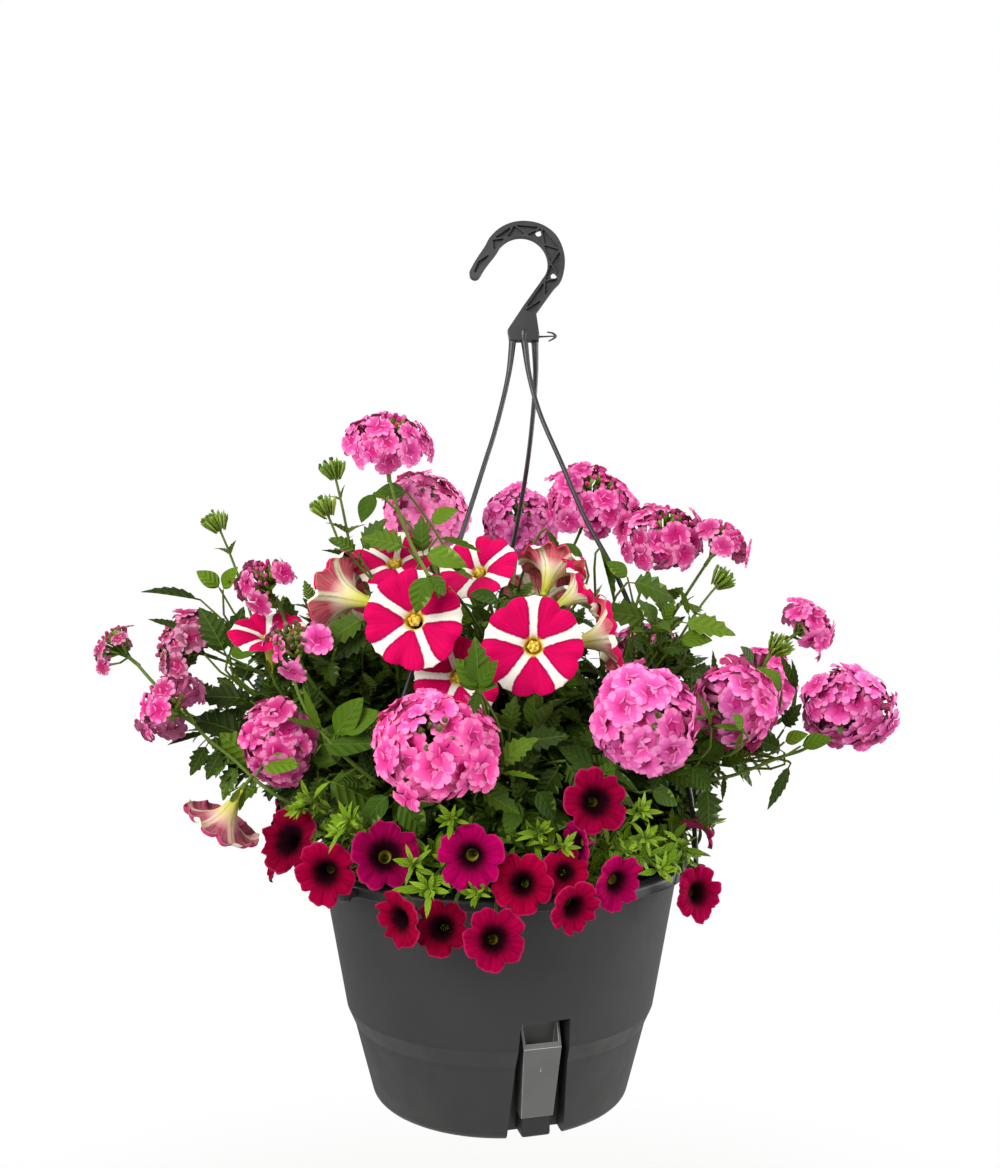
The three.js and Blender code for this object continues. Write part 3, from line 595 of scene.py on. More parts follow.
def group_tree(name, inputs):
    """An empty Geometry Nodes tree with named inputs, and its input node."""
    tree = bpy.data.node_groups.new(name, "GeometryNodeTree")
    tree.interface.new_socket("Geometry", in_out="INPUT", socket_type="NodeSocketGeometry")
    for label, kind in [*inputs, ("Finish", "Material")]:
        tree.interface.new_socket(label, in_out="INPUT", socket_type="NodeSocket" + kind)
    tree.interface.new_socket("Geometry", in_out="OUTPUT", socket_type="NodeSocketGeometry")
    nodes = Nodes(tree)
    return tree, nodes, nodes.add("NodeGroupInput").outputs


def end_tree(nodes, geometry, given):
    """Makes a tree's copies real, in the finish that it is given."""
    real = nodes.add("GeometryNodeRealizeInstances", {0: geometry})
    dressed = nodes.add("GeometryNodeSetMaterial", {"Geometry": real, "Material": given["Finish"]})
    nodes.add("NodeGroupOutput", {0: dressed})


def grown(obj, tree, values, name=None):
    """Runs a Geometry Nodes tree on an object and keeps the plain mesh that comes out."""
    modifier = obj.modifiers.new(tree.name, "NODES")
    modifier.node_group = tree
    for item in tree.interface.items_tree:
        if item.in_out == "INPUT" and item.name in values:
            modifier[item.identifier] = values[item.name]
    return plain(obj, name)


def joined(name, parts):
    """Several plain mesh objects as one."""
    with bpy.context.temp_override(active_object=parts[0], object=parts[0], selected_editable_objects=parts):
        bpy.ops.object.join()
    parts[0].name = name
    return parts[0]


crumb_inputs = [("Crumb", "Object"), ("Count per metre2", "Float"), ("Seed", "Int")]
crumb_tree, nodes, given = group_tree("crumbs_on_soil", crumb_inputs)
sockets = {"Mesh": given["Geometry"], "Density": given["Count per metre2"], "Seed": given["Seed"]}
spots = nodes.add("GeometryNodeDistributePointsOnFaces", sockets).outputs["Points"]
crumb = nodes.add("GeometryNodeObjectInfo", {"Object": given["Crumb"]}).outputs["Geometry"]
sockets = {1: (6.3, 6.3, 6.3), "Seed": given["Seed"]}
spin = nodes.add("FunctionNodeRandomValue", sockets, data_type="FLOAT_VECTOR").outputs[0]
sockets = {2: 0.5, 3: 1.7, "Seed": given["Seed"]}
sizes = nodes.add("FunctionNodeRandomValue", sockets, data_type="FLOAT").outputs[1]
sockets = {"Points": spots, "Instance": crumb, "Rotation": spin, "Scale": sizes}
end_tree(nodes, nodes.add("GeometryNodeInstanceOnPoints", sockets), given)


def lump(name, radius):
    """A rough crumb about the origin."""
    bpy.ops.mesh.primitive_ico_sphere_add(subdivisions=1, radius=radius * MM)
    obj = bpy.context.object
    obj.name = name
    for vertex in obj.data.vertices:
        vertex.co *= 1 + 0.35 * noise.noise(vertex.co.normalized() * 1.7)
    return obj


def crumbs_on(finish, size, density, seed):
    """Crumbs of one kind strewn over the top of the soil."""
    top = [(x, y, soil_level(r) + 0.2) for r in TOP_RINGS for x, y in circle(r, TOP_SIDES)]
    faces = []
    for ring in range(len(TOP_RINGS) - 1):
        for i in range(TOP_SIDES):
            here, after = (TOP_SIDES * ring + k % TOP_SIDES for k in (i, i + 1))
            faces.append((here, here + TOP_SIDES, after + TOP_SIDES, after))
    crumb = lump("crumb", size)
    values = {"Crumb": crumb, "Count per metre2": density, "Seed": seed, "Finish": finish}
    made = grown(solid("soil_top", top, faces), crumb_tree, values)
    bpy.data.objects.remove(crumb)
    return made


crumbs = [crumbs_on(soil_finish, 1.6, 26000, 3), crumbs_on(perlite_finish, 1.1, 2600, 8)]
settled(joined("soil_fill", [soil, *crumbs]), "potting_soil")

# ---- Hook ----
# The top of the hanger, moulded in black polypropylene with the strands: a flat hook whose faces are hollowed
# down to a web between zigzag ribs, with two eyes, over a block with a barbed pin for a plant label.
SEAT = (13.8, 565.9)
SEAT_RADIUS = 18.1
HOOK_THICKNESS = 6.5
HOOK_WEB = 1.6
HOOK_FLANGE = 1.9
RIB = 0.9
SLOT_HALF = 0.8
EYE_STATIONS = (7, 11)
EYE_RADIUS = 2.1
BLOCK_THICKNESS = 9
# The hook's centreline from its tip, as (x, z, width) from the seat, with its bend by angle and width.
HOOK_TIP = [(-30.7, -24.6, 7.2), (-26.9, -18, 7.6)]
HOOK_BEND = [
    (155, 8.4), (140, 8.8), (120, 9.4), (100, 10), (80, 10.6), (60, 11.6), (40, 12.2), (20, 11.8), (0, 11.4),
    (-20, 11),
]
HOOK_NECK = [(18.4, -31.4, 9.8), (13, -38.9, 9.6), (4.4, -50.9, 9.6)]
# Corners of the block and its notch, as (x, z, fillet) from the seat.
STRAND_BLOCK = [
    (-7.4, -69.6, 0.8), (12, -69.6, 0.8), (12, -62.6, 2), (10.5, -52.2, 1), (0.6, -48.3, 0.5),
    (-8.9, -62.6, 1.6),
]
SHELF_NOTCH = [(2.6, -61.8, 0.3), (7.6, -61.8, 0.3), (5.6, -59.4, 0.5)]
# Places from the seat, as (x, depth, z, radius).
LABEL_PIN = [(11, 0, -66.4, 0.75), (15, 0, -66.3, 0.6), (19, 0, -66.1, 0.5), (23.2, 0, -66.0, 0.5)]
PIN_BARB = [
    (17.6, 0, -63.2, 0.45), (21.4, 0, -64, 0.62), (23.6, 0, -66, 0.75), (22, 0, -67.6, 0.62),
    (18.6, 0, -69.4, 0.45),
]
STRAND_ROOTS = ((-5.2, -1), (2.2, -2), (9.5, 3))


def unit(vector):
    vector = np.asarray(vector, float)
    return vector / max(np.linalg.norm(vector), 1e-9)


def smooth_path(points, steps):
    """Places on a centripetal Catmull-Rom curve through the given ones."""
    p = np.asarray(points, float)
    p = np.vstack([2 * p[0] - p[1], p, 2 * p[-1] - p[-2]])
    knots = np.concatenate([[0], np.cumsum(np.sqrt(np.linalg.norm(np.diff(p, axis=0), axis=1)))])
    path = []
    for i in range(1, len(p) - 2):
        t0, t1, t2, t3 = knots[i - 1 : i + 3]
        chord = (p[i + 1] - p[i]) / (t2 - t1)
        leave = (p[i] - p[i - 1]) / (t1 - t0) - (p[i + 1] - p[i - 1]) / (t2 - t0) + chord
        arrive = chord - (p[i + 2] - p[i]) / (t3 - t1) + (p[i + 2] - p[i + 1]) / (t3 - t2)
        for s in np.arange(steps) / steps:
            ahead = 3 * s**2 - 2 * s**3
            curve = (t2 - t1) * ((s**3 - 2 * s**2 + s) * leave + (s**3 - s**2) * arrive)
            path.append((1 - ahead) * p[i] + ahead * p[i + 1] + curve)
    return np.array(path + [p[-2]])


hook_line = list(HOOK_TIP)
for angle, width in HOOK_BEND:
    reach, turn = SEAT_RADIUS + width / 2, math.radians(angle)
    hook_line.append((reach * math.cos(turn), reach * math.sin(turn) - SEAT_RADIUS, width))
hook_line = np.array(hook_line + HOOK_NECK)


def hook_sides(line, inset):
    """The hook's outer and inner edge along its centreline, each inset by a width."""
    along = np.gradient(line[:, :2], axis=0)
    along /= np.linalg.norm(along, axis=1)[:, None]
    out = np.stack([-along[:, 1], along[:, 0]], axis=1) * (line[:, 2:] / 2 - inset)
    return line[:, :2] + out, line[:, :2] - out


def upright(points):
    return [(SEAT[0] + x, -depth, SEAT[1] + z) for x, z, depth in points]


def upright_slab(name, outline, thickness, middle=0.0):
    """An outline of (x, z) from the hook's seat, given a thickness across the hook's plane."""
    points, faces = slab(outline, middle - thickness / 2, middle + thickness / 2)
    return solid(name, upright(points), faces)


def inset_outline(corners, insets):
    """A polygon whose sides are moved inwards, each by its own distance."""
    corners = [Vector(c) for c in corners]
    count = len(corners)
    area = sum(corners[i - 1].cross(corners[i]) for i in range(count))
    lines = []
    for i, inset in enumerate(insets):
        a, b = corners[i], corners[(i + 1) % count]
        side = (b - a).normalized()
        inwards = Vector((-side.y, side.x)) * math.copysign(1, area)
        lines.append((a + inwards * inset, side))
    result = []
    for i in range(count):
        (p, d), (q, e) = lines[i - 1], lines[i]
        result.append(p + d * ((q - p).cross(e) / d.cross(e)))
    return result if area > 0 else result[::-1]


outer_side, inner_side = hook_sides(smooth_path(hook_line, 8), 0)
tip, after_tip = hook_line[:2]
tip_turn = math.atan2(tip[1] - after_tip[1], tip[0] - after_tip[0])
turns = tip_turn + np.radians(range(75, -76, -15))
cap = tip[:2] + tip[2] / 2 * np.column_stack([np.cos(turns), np.sin(turns)])
outline = [tuple(p) for p in [*outer_side, *inner_side[::-1], *cap]]
hook = upright_slab("hook_moulding", outline[::-1], HOOK_THICKNESS)

# The hollows are the triangles between one rib and the next.
outs, ins = hook_sides(hook_line, HOOK_FLANGE)
slot_middle, slot_side = (outs[0] + ins[0]) / 2, unit(outs[0] - ins[0]) * SLOT_HALF
cells = []
for i in range(1, len(outs) - 1):
    near, far = (outs, ins) if i % 2 else (ins, outs)
    corners = [near[i], far[i + 1], near[min(i + 2, len(outs) - 1)]]
    if i == 1:
        corners = [slot_middle + slot_side, slot_middle - slot_side, ins[2], outs[1]]
    cell = inset_outline(corners, [RIB / 2, RIB / 2, 0, 0][: len(corners)])
    cells.append(filleted([(*corner, 0.5) for corner in cell], 3))
for face in (-1, 1):
    points, faces = [], []
    levels = sorted((face * HOOK_WEB / 2, face * (HOOK_THICKNESS / 2 + 2)))
    for cell in cells:
        base = len(points)
        more, sides = slab(cell, *levels)
        points += upright(more)
        faces += [tuple(base + k for k in side) for side in sides]
    hook = combined(hook, solid("hollows", points, faces), "DIFFERENCE")
for x, z, _ in hook_line[list(EYE_STATIONS)]:
    hook = combined(hook, upright_slab("eye", circle(EYE_RADIUS, 20, x, z), 3 * HOOK_THICKNESS), "DIFFERENCE")
block = upright_slab("strand_block", filleted(STRAND_BLOCK, 4), BLOCK_THICKNESS)
hook = combined(hook, with_soft_edges(block, 1.4, segments=4), "UNION")
notch = upright_slab("shelf_notch", filleted(SHELF_NOTCH, 3), 3.2, -BLOCK_THICKNESS / 2)
hook = combined(hook, notch, "DIFFERENCE")
hook.data.materials.append(black_plastic)
# Painted highlight: the hook's bevels are a lighter grey that stands for light catching its ribs and outline.
hook = with_soft_edges(hook, 0.45, plastic("worn_black_edge", "3c3d3d", "4a4b4b", 0.35), angle=42)

rod_tree, nodes, given = group_tree("rods_along_curves", [("Sides", "Int")])
ring = nodes.add("GeometryNodeCurvePrimitiveCircle", {"Resolution": given["Sides"], "Radius": 1.0})
width = nodes.add("GeometryNodeInputRadius")
sockets = {"Curve": given["Geometry"], "Profile Curve": ring, "Scale": width, "Fill Caps": True}
swept = nodes.add("GeometryNodeCurveToMesh", sockets)
end_tree(nodes, nodes.add("GeometryNodeSetShadeSmooth", {0: swept}), given)


def rods(name, paths, finish, sides):
    """Round rods along paths of (x, y, z, radius), such as strands and stems."""
    data = bpy.data.curves.new(name, "CURVE")
    data.dimensions = "3D"
    for path in paths:
        path = np.asarray(path, float)
        spline = data.splines.new("POLY")
        spline.points.add(len(path) - 1)
        places = np.hstack([in_scene(path[:, :3]), np.ones((len(path), 1))])
        spline.points.foreach_set("co", places.ravel())
        spline.points.foreach_set("radius", path[:, 3] * MM)
    return grown(put(name, data), rod_tree, {"Sides": sides, "Finish": finish}, name)


def from_seat(stations):
    return [(SEAT[0] + x, depth, SEAT[1] + z, radius) for x, depth, z, radius in stations]


roots = []
for x, depth in STRAND_ROOTS:
    stations = [(x + 0.6, depth * 0.6, -58, 1.6), (x, depth, -64, 3.2), (x, depth, -69.8, 2.7)]
    roots.append(smooth_path(from_seat(stations), 4))
pin = [from_seat(LABEL_PIN), smooth_path(from_seat(PIN_BARB), 6)]
parts = [hook, rods("label_pin", pin, black_plastic, 10), rods("strand_roots", roots, black_plastic, 16)]
settled(joined("hook_moulding", parts), "hanger_hook")

# ---- Strands ----
# Three flexible strands of the same moulding. They taper from the block down, and each ends in a button that
# is pushed through a lug of the pot and holds under it.
STRANDS = {
    "left": [
        (8.6, -1, 499), (8.2, -1.4, 494), (5.6, -4, 473), (-3, -12, 436), (-10.3, -18, 412),
        (-21.4, -28, 376), (-33.8, -39, 337), (-55, -59, 279), (-74, -76, 215),
    ],
    "right": [
        (16, -2, 499), (16.6, -2.2, 494), (19.5, -3, 473), (26, -5, 449), (41, -10, 413),
        (56.2, -14, 377), (77.2, -20, 337), (97, -26, 286), (119.3, -32, 214),
    ],
    "back": [
        (23.3, 3, 499), (23.5, 3.3, 494), (24, 7, 475), (21.2, 18, 436), (16.5, 31, 401),
        (10.6, 42, 369), (2.7, 55, 336), (-15, 92, 247),
    ],
}
STRAND_TOP_RADIUS = 2.5
STRAND_RADIUS = 1.6
STRAND_SWELL = (462, 36)
BUTTON_TOP = LUG_TOP - LUG_THICKNESS - 0.3
# Depth below the button's top, and radius.
BUTTON = [(0, 2.2), (0.01, 3.9), (0.7, 4.2), (2.2, 3.6), (3.0, 2.4)]


def on_circle(azimuth, radius, z):
    a = math.radians(azimuth)
    return (radius * math.sin(a), -radius * math.cos(a), z)


for side, stations in STRANDS.items():
    azimuth = STRAND_AZIMUTHS[side]
    ends = [on_circle(azimuth, LUG_RADIUS, z) for z in (LUG_TOP + 12, LUG_TOP, BUTTON_TOP - 2.4)]
    path = []
    for place in stations + ends:
        swell = max(0, (place[2] - STRAND_SWELL[0]) / STRAND_SWELL[1])
        path.append((*place, STRAND_RADIUS + (STRAND_TOP_RADIUS - STRAND_RADIUS) * swell**1.5))
    button = [(*on_circle(azimuth, LUG_RADIUS, BUTTON_TOP - z), radius) for z, radius in BUTTON]
    strand = rods(f"strand_{side}", [smooth_path(path, 10), button], black_plastic, 16)
    settled(strand, f"hanger_strand_{side}")

# ---- Leaves and stems ----
# Living shoots that rise from the plants' crowns, with a pair of toothed leaves at each joint, bud heads on
# the longest, and smaller, smooth leaves of the petunias and calibrachoas near the middle and over the rim.

# Where the stems of each part of the plants rise from.
CROWNS = {
    "left": (-70, 10, 200), "right": (75, 15, 200), "front": (0, -60, 190), "middle": (0, 0, 250),
    "back": (0, 45, 200),
}
LEAF_LENGTH = 38
LEAF_THICKNESS = 0.012
VEIN_LEAN = 0.35
GOLDEN_ANGLE = 2.39996
SWELL_FLOOR = -0.45
BUD_HEAD_RADIUS = 8.0
BUD_HEAD_CALYCES = 34
# Place and start of each young head's stem.
BUD_HEADS = {
    "left": [
        ((-186, -20, 376), (-150, -10, 260)), ((-112, 0, 412), (-90, -10, 300)),
        ((-114, -30, 385), (-84, -20, 290)),
    ],
    "right": [((148, -12, 338), (110, -4, 280)), ((176, -50, 296), (150, -20, 240))],
}
# Middle, half sizes and shoots of each swell of leaves.
SWELLS = {
    "left": [((-112, 4, 234), (84, 80, 52), 44), ((-108, -16, 290), (52, 50, 40), 20)],
    "right": [((104, 14, 234), (78, 80, 52), 38), ((92, 0, 292), (52, 52, 42), 6)],
    "front": [((8, -92, 212), (66, 38, 42), 30), ((-70, -86, 205), (34, 26, 38), 16)],
    "back": [((-4, 98, 226), (76, 56, 58), 34)],
    "middle": [((0, 0, 215), (92, 90, 70), 34), ((0, 0, 280), (58, 58, 48), 26)],
}
# The flowers, which the leaves keep clear of: place, azimuth, elevation, radius and the crown of the stem.
VERBENA_HEADS = [
    ((-35, -150, 246), 3, 30, 33, "front"), ((82, -130, 258), 5, 12, 30.5, "front"),
    ((144, -70, 260), 130, 10, 27, "right"), ((215, -60, 257), 150, 35, 28, "right"),
    ((197, -30, 306), 80, 35, 19, "right"), ((-73, -20, 423), 0, 70, 29, "middle"),
    ((-52, 30, 385), 10, 30, 29, "middle"), ((62, 20, 388), 20, 45, 32, "middle"),
    ((14, 66, 379), 0, 25, 27, "middle"), ((110, 12, 364), 20, 45, 30, "right"),
    ((147, 4, 360), 60, 55, 21, "right"), ((-144, -60, 332), -20, 45, 20, "left"),
    ((-204, -20, 292), -80, 20, 25, "left"), ((-251, -10, 290), -80, 40, 20, "left"),
    ((-201, -70, 258), -100, 30, 23, "left"), ((-128, -110, 243), -10, 5, 25, "left"),
    ((-118, -110, 296), -10, 45, 19, "left"), ((-118, 156, 284), -140, 35, 29, "left"),
    ((-6, 186, 268), 180, 25, 31, "middle"), ((118, 160, 278), 140, 35, 29, "right"),
    ((190, 70, 262), 110, 25, 27, "right"),
]
PETUNIAS = [
    ((-50, -112, 314), -2, 10, 30, "front"), ((19, -126, 299), 0, 5, 29, "front"),
    ((-14, -68, 345), -16, 40, 25, "middle"), ((-66, -62, 351), -8, 45, 26, "middle"),
    ((-26, -98, 278), -12, -8, 27, "front"), ((-102, -76, 328), -120, 10, 28, "left"),
    ((-141, -74, 306), 0, 62, 24, "left"), ((35, -48, 350), 150, 55, 23.5, "middle"),
    ((70, -84, 304), 95, 12, 26, "front"), ((56, -60, 334), 85, 35, 24, "middle"),
    ((-165, -104, 190), -98, -58, 24, "left"), ((28, 112, 322), 170, 35, 28, "middle"),
    ((-66, 102, 330), -160, 40, 28, "middle"),
]
# The calibrachoa sprays go by the azimuth of their root on the rim.
CALIBRACHOA_SPRAYS = {
    -56: [((-122, -116, 188), -30, 22, 20), ((-98, -132, 172), -8, 0, 19)],
    -30: [((-63, -143, 185), 8, 20, 20), ((-56, -150, 151), -42, -6, 17)],
    -8: [((-16, -152, 186), -6, 4, 19), ((-32, -148, 146), -8, 12, 16)],
    0: [((-3, -158, 143), 6, 16, 18)],
    12: [((12, -150, 171), -8, 14, 18), ((36, -146, 176), 10, 14, 14), ((41, -153, 158), 26, -12, 16)],
    30: [((66, -138, 168), 30, -8, 17)],
    24: [((42, -136, 190), -60, 0, 13), ((53, -142, 214), 8, 10, 19)],
    66: [((132, -46, 184), 85, 5, 18), ((121, -78, 147), 34, 8, 18)],
    120: [((130, 74, 172), 120, 10, 18), ((96, 118, 160), 140, 0, 18)],
    165: [((40, 148, 170), 165, 10, 18), ((-8, 154, 158), 180, 0, 18)],
    215: [((-88, 124, 172), 215, 10, 18), ((-122, 92, 158), 232, 0, 18)],
    268: [((-152, 12, 172), 266, 5, 18), ((-148, -36, 160), 286, 0, 17)],
}
# Leaves that show their shape: base, x and z of the tip, kind (toothed, smooth or narrow) and tone, which
# is painted light and shade: it paints each leaf as lit or shaded. A tip stands 8 mm in front of its base,
# a narrow one 3 mm, and any other distance is given last.
SHOWN_LEAVES = {
    "left": [
        (-182, -24, 331, -191, 344, "s", 0.8), (-180, -24, 330, -170, 345, "s", 0.85),
        (-198, -8, 323, -236, 333, "n", 0.2), (-204, -30, 306, -225, 310, "n", 0.2),
        (-175, -34, 287, -187, 320, "t", 0.35), (-173, -36, 289, -163, 319, "t", 0.3),
        (-173, -40, 289, -150, 300, "s", 0.6), (-160, -46, 237, -191, 257, "t", 0.2),
        (-147, -60, 221, -171, 243, "t", 0.75), (-183, -52, 241, -207, 235, "n", 0.25),
        (-182, -54, 235, -191, 217, "t", 0.3), (-172, -56, 231, -183, 215, "t", 0.3),
        (-161, -60, 222, -176, 207, "t", 0.55), (-134, -128, 232, -115, 236, "s", 0.8),
        (-159, -40, 260, -186, 267, "t", 0.15), (-77, -100, 314, -104, 304, "t", 0.5),
        (-75, -96, 310, -99, 293, "t", 0.3), (-101, -118, 247, -112, 274, "n", 0.7),
        (-94, -120, 247, -79, 269, "s", 0.6), (-91, -122, 250, -73, 263, "s", 0.65),
        (-101, -122, 252, -120, 257, "n", 0.6), (-102, -118, 242, -73, 245, "s", 0.4),
        (-102, -116, 222, -69, 216, "t", 0.5), (-106, -104, 225, -98, 250, "s", 0.55),
        (-98, -112, 224, -110, 211, "t", 0.4), (-145, -70, 211, -163, 203, "t", 0.6),
        (-189, -36, 289, -202, 299, "t", 0.5),
    ],
    "front": [
        (-12, -150, 276, -11, 301, "t", 0.5), (-12, -151, 277, -21, 293, "s", 0.6, 5),
        (-12, -151, 277, -3, 292, "s", 0.5, 6), (-12, -151, 277, -22, 281, "s", 0.4, 4),
        (-12, -151, 277, -2, 280, "s", 0.55, 4), (-12, -150, 277, -14, 265, "t", 0.4, 7),
        (-1, -142, 233, 13, 251, "t", 0.7), (0, -144, 230, 21, 229, "n", 0.85),
        (-12, -140, 220, 9, 211, "t", 0.45), (-12, -140, 221, 0, 233, "s", 0.6),
        (-28, -138, 219, -19, 212, "n", 0.6), (11, -120, 242, 34, 252, "t", 0.25),
        (37, -124, 234, 50, 213, "t", 0.3), (34, -122, 231, 22, 213, "t", 0.25),
        (20, -128, 218, 33, 206, "s", 0.35), (11, -132, 213, 3, 195, "s", 0.45),
        (55, -110, 227, 34, 242, "s", 0.3), (-56, -130, 213, -44, 198, "s", 0.4),
        (-62, -126, 215, -78, 205, "s", 0.35),
    ],
    "middle": [
        (-81, -30, 393, -89, 374, "s", 0.45), (-62, 0, 395, -81, 400, "s", 0.5),
        (-45, -30, 373, -30, 384, "s", 0.8), (-47, -66, 351, -50, 374, "t", 0.5),
        (-86, -78, 352, -98, 364, "t", 0.55), (-85, -72, 353, -72, 373, "t", 0.45),
        (-55, -82, 355, -78, 365, "t", 0.7), (-89, -78, 349, -106, 356, "n", 0.2),
        (-45, -92, 351, -21, 353, "s", 0.75), (-33, -90, 348, -17, 336, "n", 0.6),
        (-38, -76, 362, -12, 355, "n", 0.55), (-41, -122, 339, -50, 322, "s", 0.6),
        (-40, -120, 339, -31, 330, "s", 0.5), (29, -50, 369, 40, 348, "n", 0.35),
        (0, -90, 324, -18, 329, "s", 0.3), (3, -90, 326, 12, 310, "s", 0.25),
        (54, -40, 349, 38, 359, "s", 0.4),
    ],
    "right": [
        (82, -30, 335, 114, 334, "t", 0.5), (82, -32, 338, 73, 349, "s", 0.6),
        (64, -30, 357, 76, 324, "n", 0.45), (97, -34, 310, 67, 321, "t", 0.6),
        (100, -34, 310, 93, 322, "s", 0.65), (105, -34, 310, 108, 322, "s", 0.6),
        (122, -30, 313, 115, 331, "n", 0.6), (114, -40, 310, 148, 304, "t", 0.8),
        (113, -42, 298, 131, 302, "s", 0.75), (89, -40, 303, 98, 288, "n", 0.5),
        (100, -40, 291, 116, 300, "t", 0.4), (105, -38, 298, 116, 283, "n", 0.4),
        (155, -70, 284, 147, 296, "s", 0.35), (186, -50, 267, 174, 290, "n", 0.3),
        (186, -50, 267, 183, 286, "n", 0.25), (177, -54, 243, 183, 260, "t", 0.25),
        (177, -56, 229, 158, 242, "t", 0.35), (176, -60, 236, 185, 243, "s", 0.8),
        (185, -64, 234, 200, 240, "s", 0.65), (180, -60, 223, 165, 196, "n", 0.3),
        (175, -58, 267, 166, 282, "s", 0.75), (123, -104, 250, 117, 270, "n", 0.8),
        (141, -106, 250, 123, 251, "n", 0.75), (141, -106, 249, 135, 259, "s", 0.8),
        (141, -106, 248, 136, 238, "n", 0.7), (122, -70, 226, 134, 240, "s", 0.5),
        (135, -66, 223, 149, 232, "s", 0.5), (126, -64, 210, 132, 185, "t", 0.35),
        (116, -70, 223, 128, 210, "s", 0.4), (139, -60, 216, 137, 201, "n", 0.3),
        (67, -90, 277, 82, 272, "s", 0.4), (53, -90, 271, 44, 282, "t", 0.4),
        (87, -110, 215, 102, 211, "s", 0.4),
    ],
}


def clamped(value):
    return min(1, max(0, value))


def facing_frame(azimuth, elevation, roll=0.0):
    """The directions of a flower's right, up and facing, as rows."""
    a, e, r = (math.radians(v) for v in (azimuth, elevation, roll))
    facing = np.array([math.sin(a) * math.cos(e), -math.cos(a) * math.cos(e), math.sin(e)])
    right = unit(np.cross((0, 0, 1), facing))
    up = np.cross(facing, right)
    return np.array([right * math.cos(r) + up * math.sin(r), up * math.cos(r) - right * math.sin(r), facing])


def bezier(points, steps):
    """Places along a Bezier curve through its hull of points."""
    points = [np.asarray(p, float) for p in points]
    path = []
    for t in np.linspace(0, 1, steps):
        layer = points
        while len(layer) > 1:
            layer = [a + (b - a) * t for a, b in zip(layer, layer[1:])]
        path.append(layer[0])
    return np.array(path)


def stem_to(root, end, facing, steps=14):
    """A stem that rises from a crown and arrives at a flower from behind."""
    root, end = np.asarray(root, float), np.asarray(end, float)
    reach = np.linalg.norm(end - root) * 0.3
    return bezier([root, root + np.array([0, 0, reach]), end - np.asarray(facing) * reach, end], steps)


def tapered(path, *radii):
    """A path with a radius at each place, from radii at even steps along it."""
    shares = np.linspace(0, 1, len(path))
    return np.column_stack([path, np.interp(shares, np.linspace(0, 1, len(radii)), radii)])


def with_map(mesh, uvs):
    """Gives each corner of each face its place on the UV map."""
    layer = mesh.uv_layers.new(name="UVMap")
    for loop, uv in zip(layer.data, (uv for corners in uvs for uv in corners)):
        loop.uv = uv


def shape(name, collection, points, faces, uvs, sharp=()):
    """A small closed shape of unit size for copies, with a place on it for its finish and sharp rims."""
    mesh = bpy.data.meshes.new(name)
    mesh.from_pydata([tuple(p) for p in points], [], faces)
    with_map(mesh, uvs)
    mesh.shade_smooth()
    rims = mesh.attributes.new("sharp_edge", "BOOLEAN", "EDGE")
    for edge, flag in zip(mesh.edges, rims.data):
        flag.value = tuple(sorted(edge.vertices)) in sharp
    collection.objects.link(bpy.data.objects.new(name, mesh))


copy_inputs = [("Shapes", "Collection"), ("Size spread", "Float"), ("Seed", "Int")]
copies_tree, nodes, given = group_tree("copies_on_points", copy_inputs)
named = "GeometryNodeInputNamedAttribute"
facing, upper = (nodes.add(named, {"Name": name}, data_type="FLOAT_VECTOR") for name in ("facing", "up"))
size = nodes.add(named, {"Name": "size"}, data_type="FLOAT")
turn = nodes.add("FunctionNodeAxesToRotation", {0: facing, 1: upper}, primary_axis="Z", secondary_axis="X")
spread, seed = given["Size spread"], given["Seed"]
sockets = {2: nodes.minus(1.0, spread), 3: nodes.plus(1.0, spread), "Seed": seed}
factor = nodes.add("FunctionNodeRandomValue", sockets, data_type="FLOAT").outputs[1]
pick = nodes.add("FunctionNodeRandomValue", {4: 0, 5: 999, "Seed": seed}, data_type="INT").outputs[2]
sockets = {0: given["Shapes"], "Separate Children": True, "Reset Children": True}
sockets = {
    "Points": given["Geometry"],
    "Instance": nodes.add("GeometryNodeCollectionInfo", sockets),
    "Pick Instance": True,
    "Instance Index": pick,
    "Rotation": turn,
    "Scale": nodes.times(size, factor),
}
end_tree(nodes, nodes.add("GeometryNodeInstanceOnPoints", sockets), given)


def copies(name, spots, shapes, finish, seed=1, spread=0.08):
    """Copies of shapes on spots of (place, facing, up, size, tone, tint), sizes in millimetres."""
    columns = [np.array(column, np.float32) for column in zip(*spots)]
    columns[3] *= MM
    mesh = bpy.data.meshes.new(name)
    mesh.from_pydata([tuple(p) for p in in_scene(columns[0])], [], [])
    for label, column in zip(("facing", "up", "size", "tone", "tint"), columns[1:]):
        vector = column.ndim == 2
        attribute = mesh.attributes.new(label, "FLOAT_VECTOR" if vector else "FLOAT", "POINT")
        attribute.data.foreach_set("vector" if vector else "value", column.ravel())
    values = {"Shapes": shapes, "Size spread": spread, "Seed": seed, "Finish": finish}
    return grown(put(name, mesh), copies_tree, values, name)


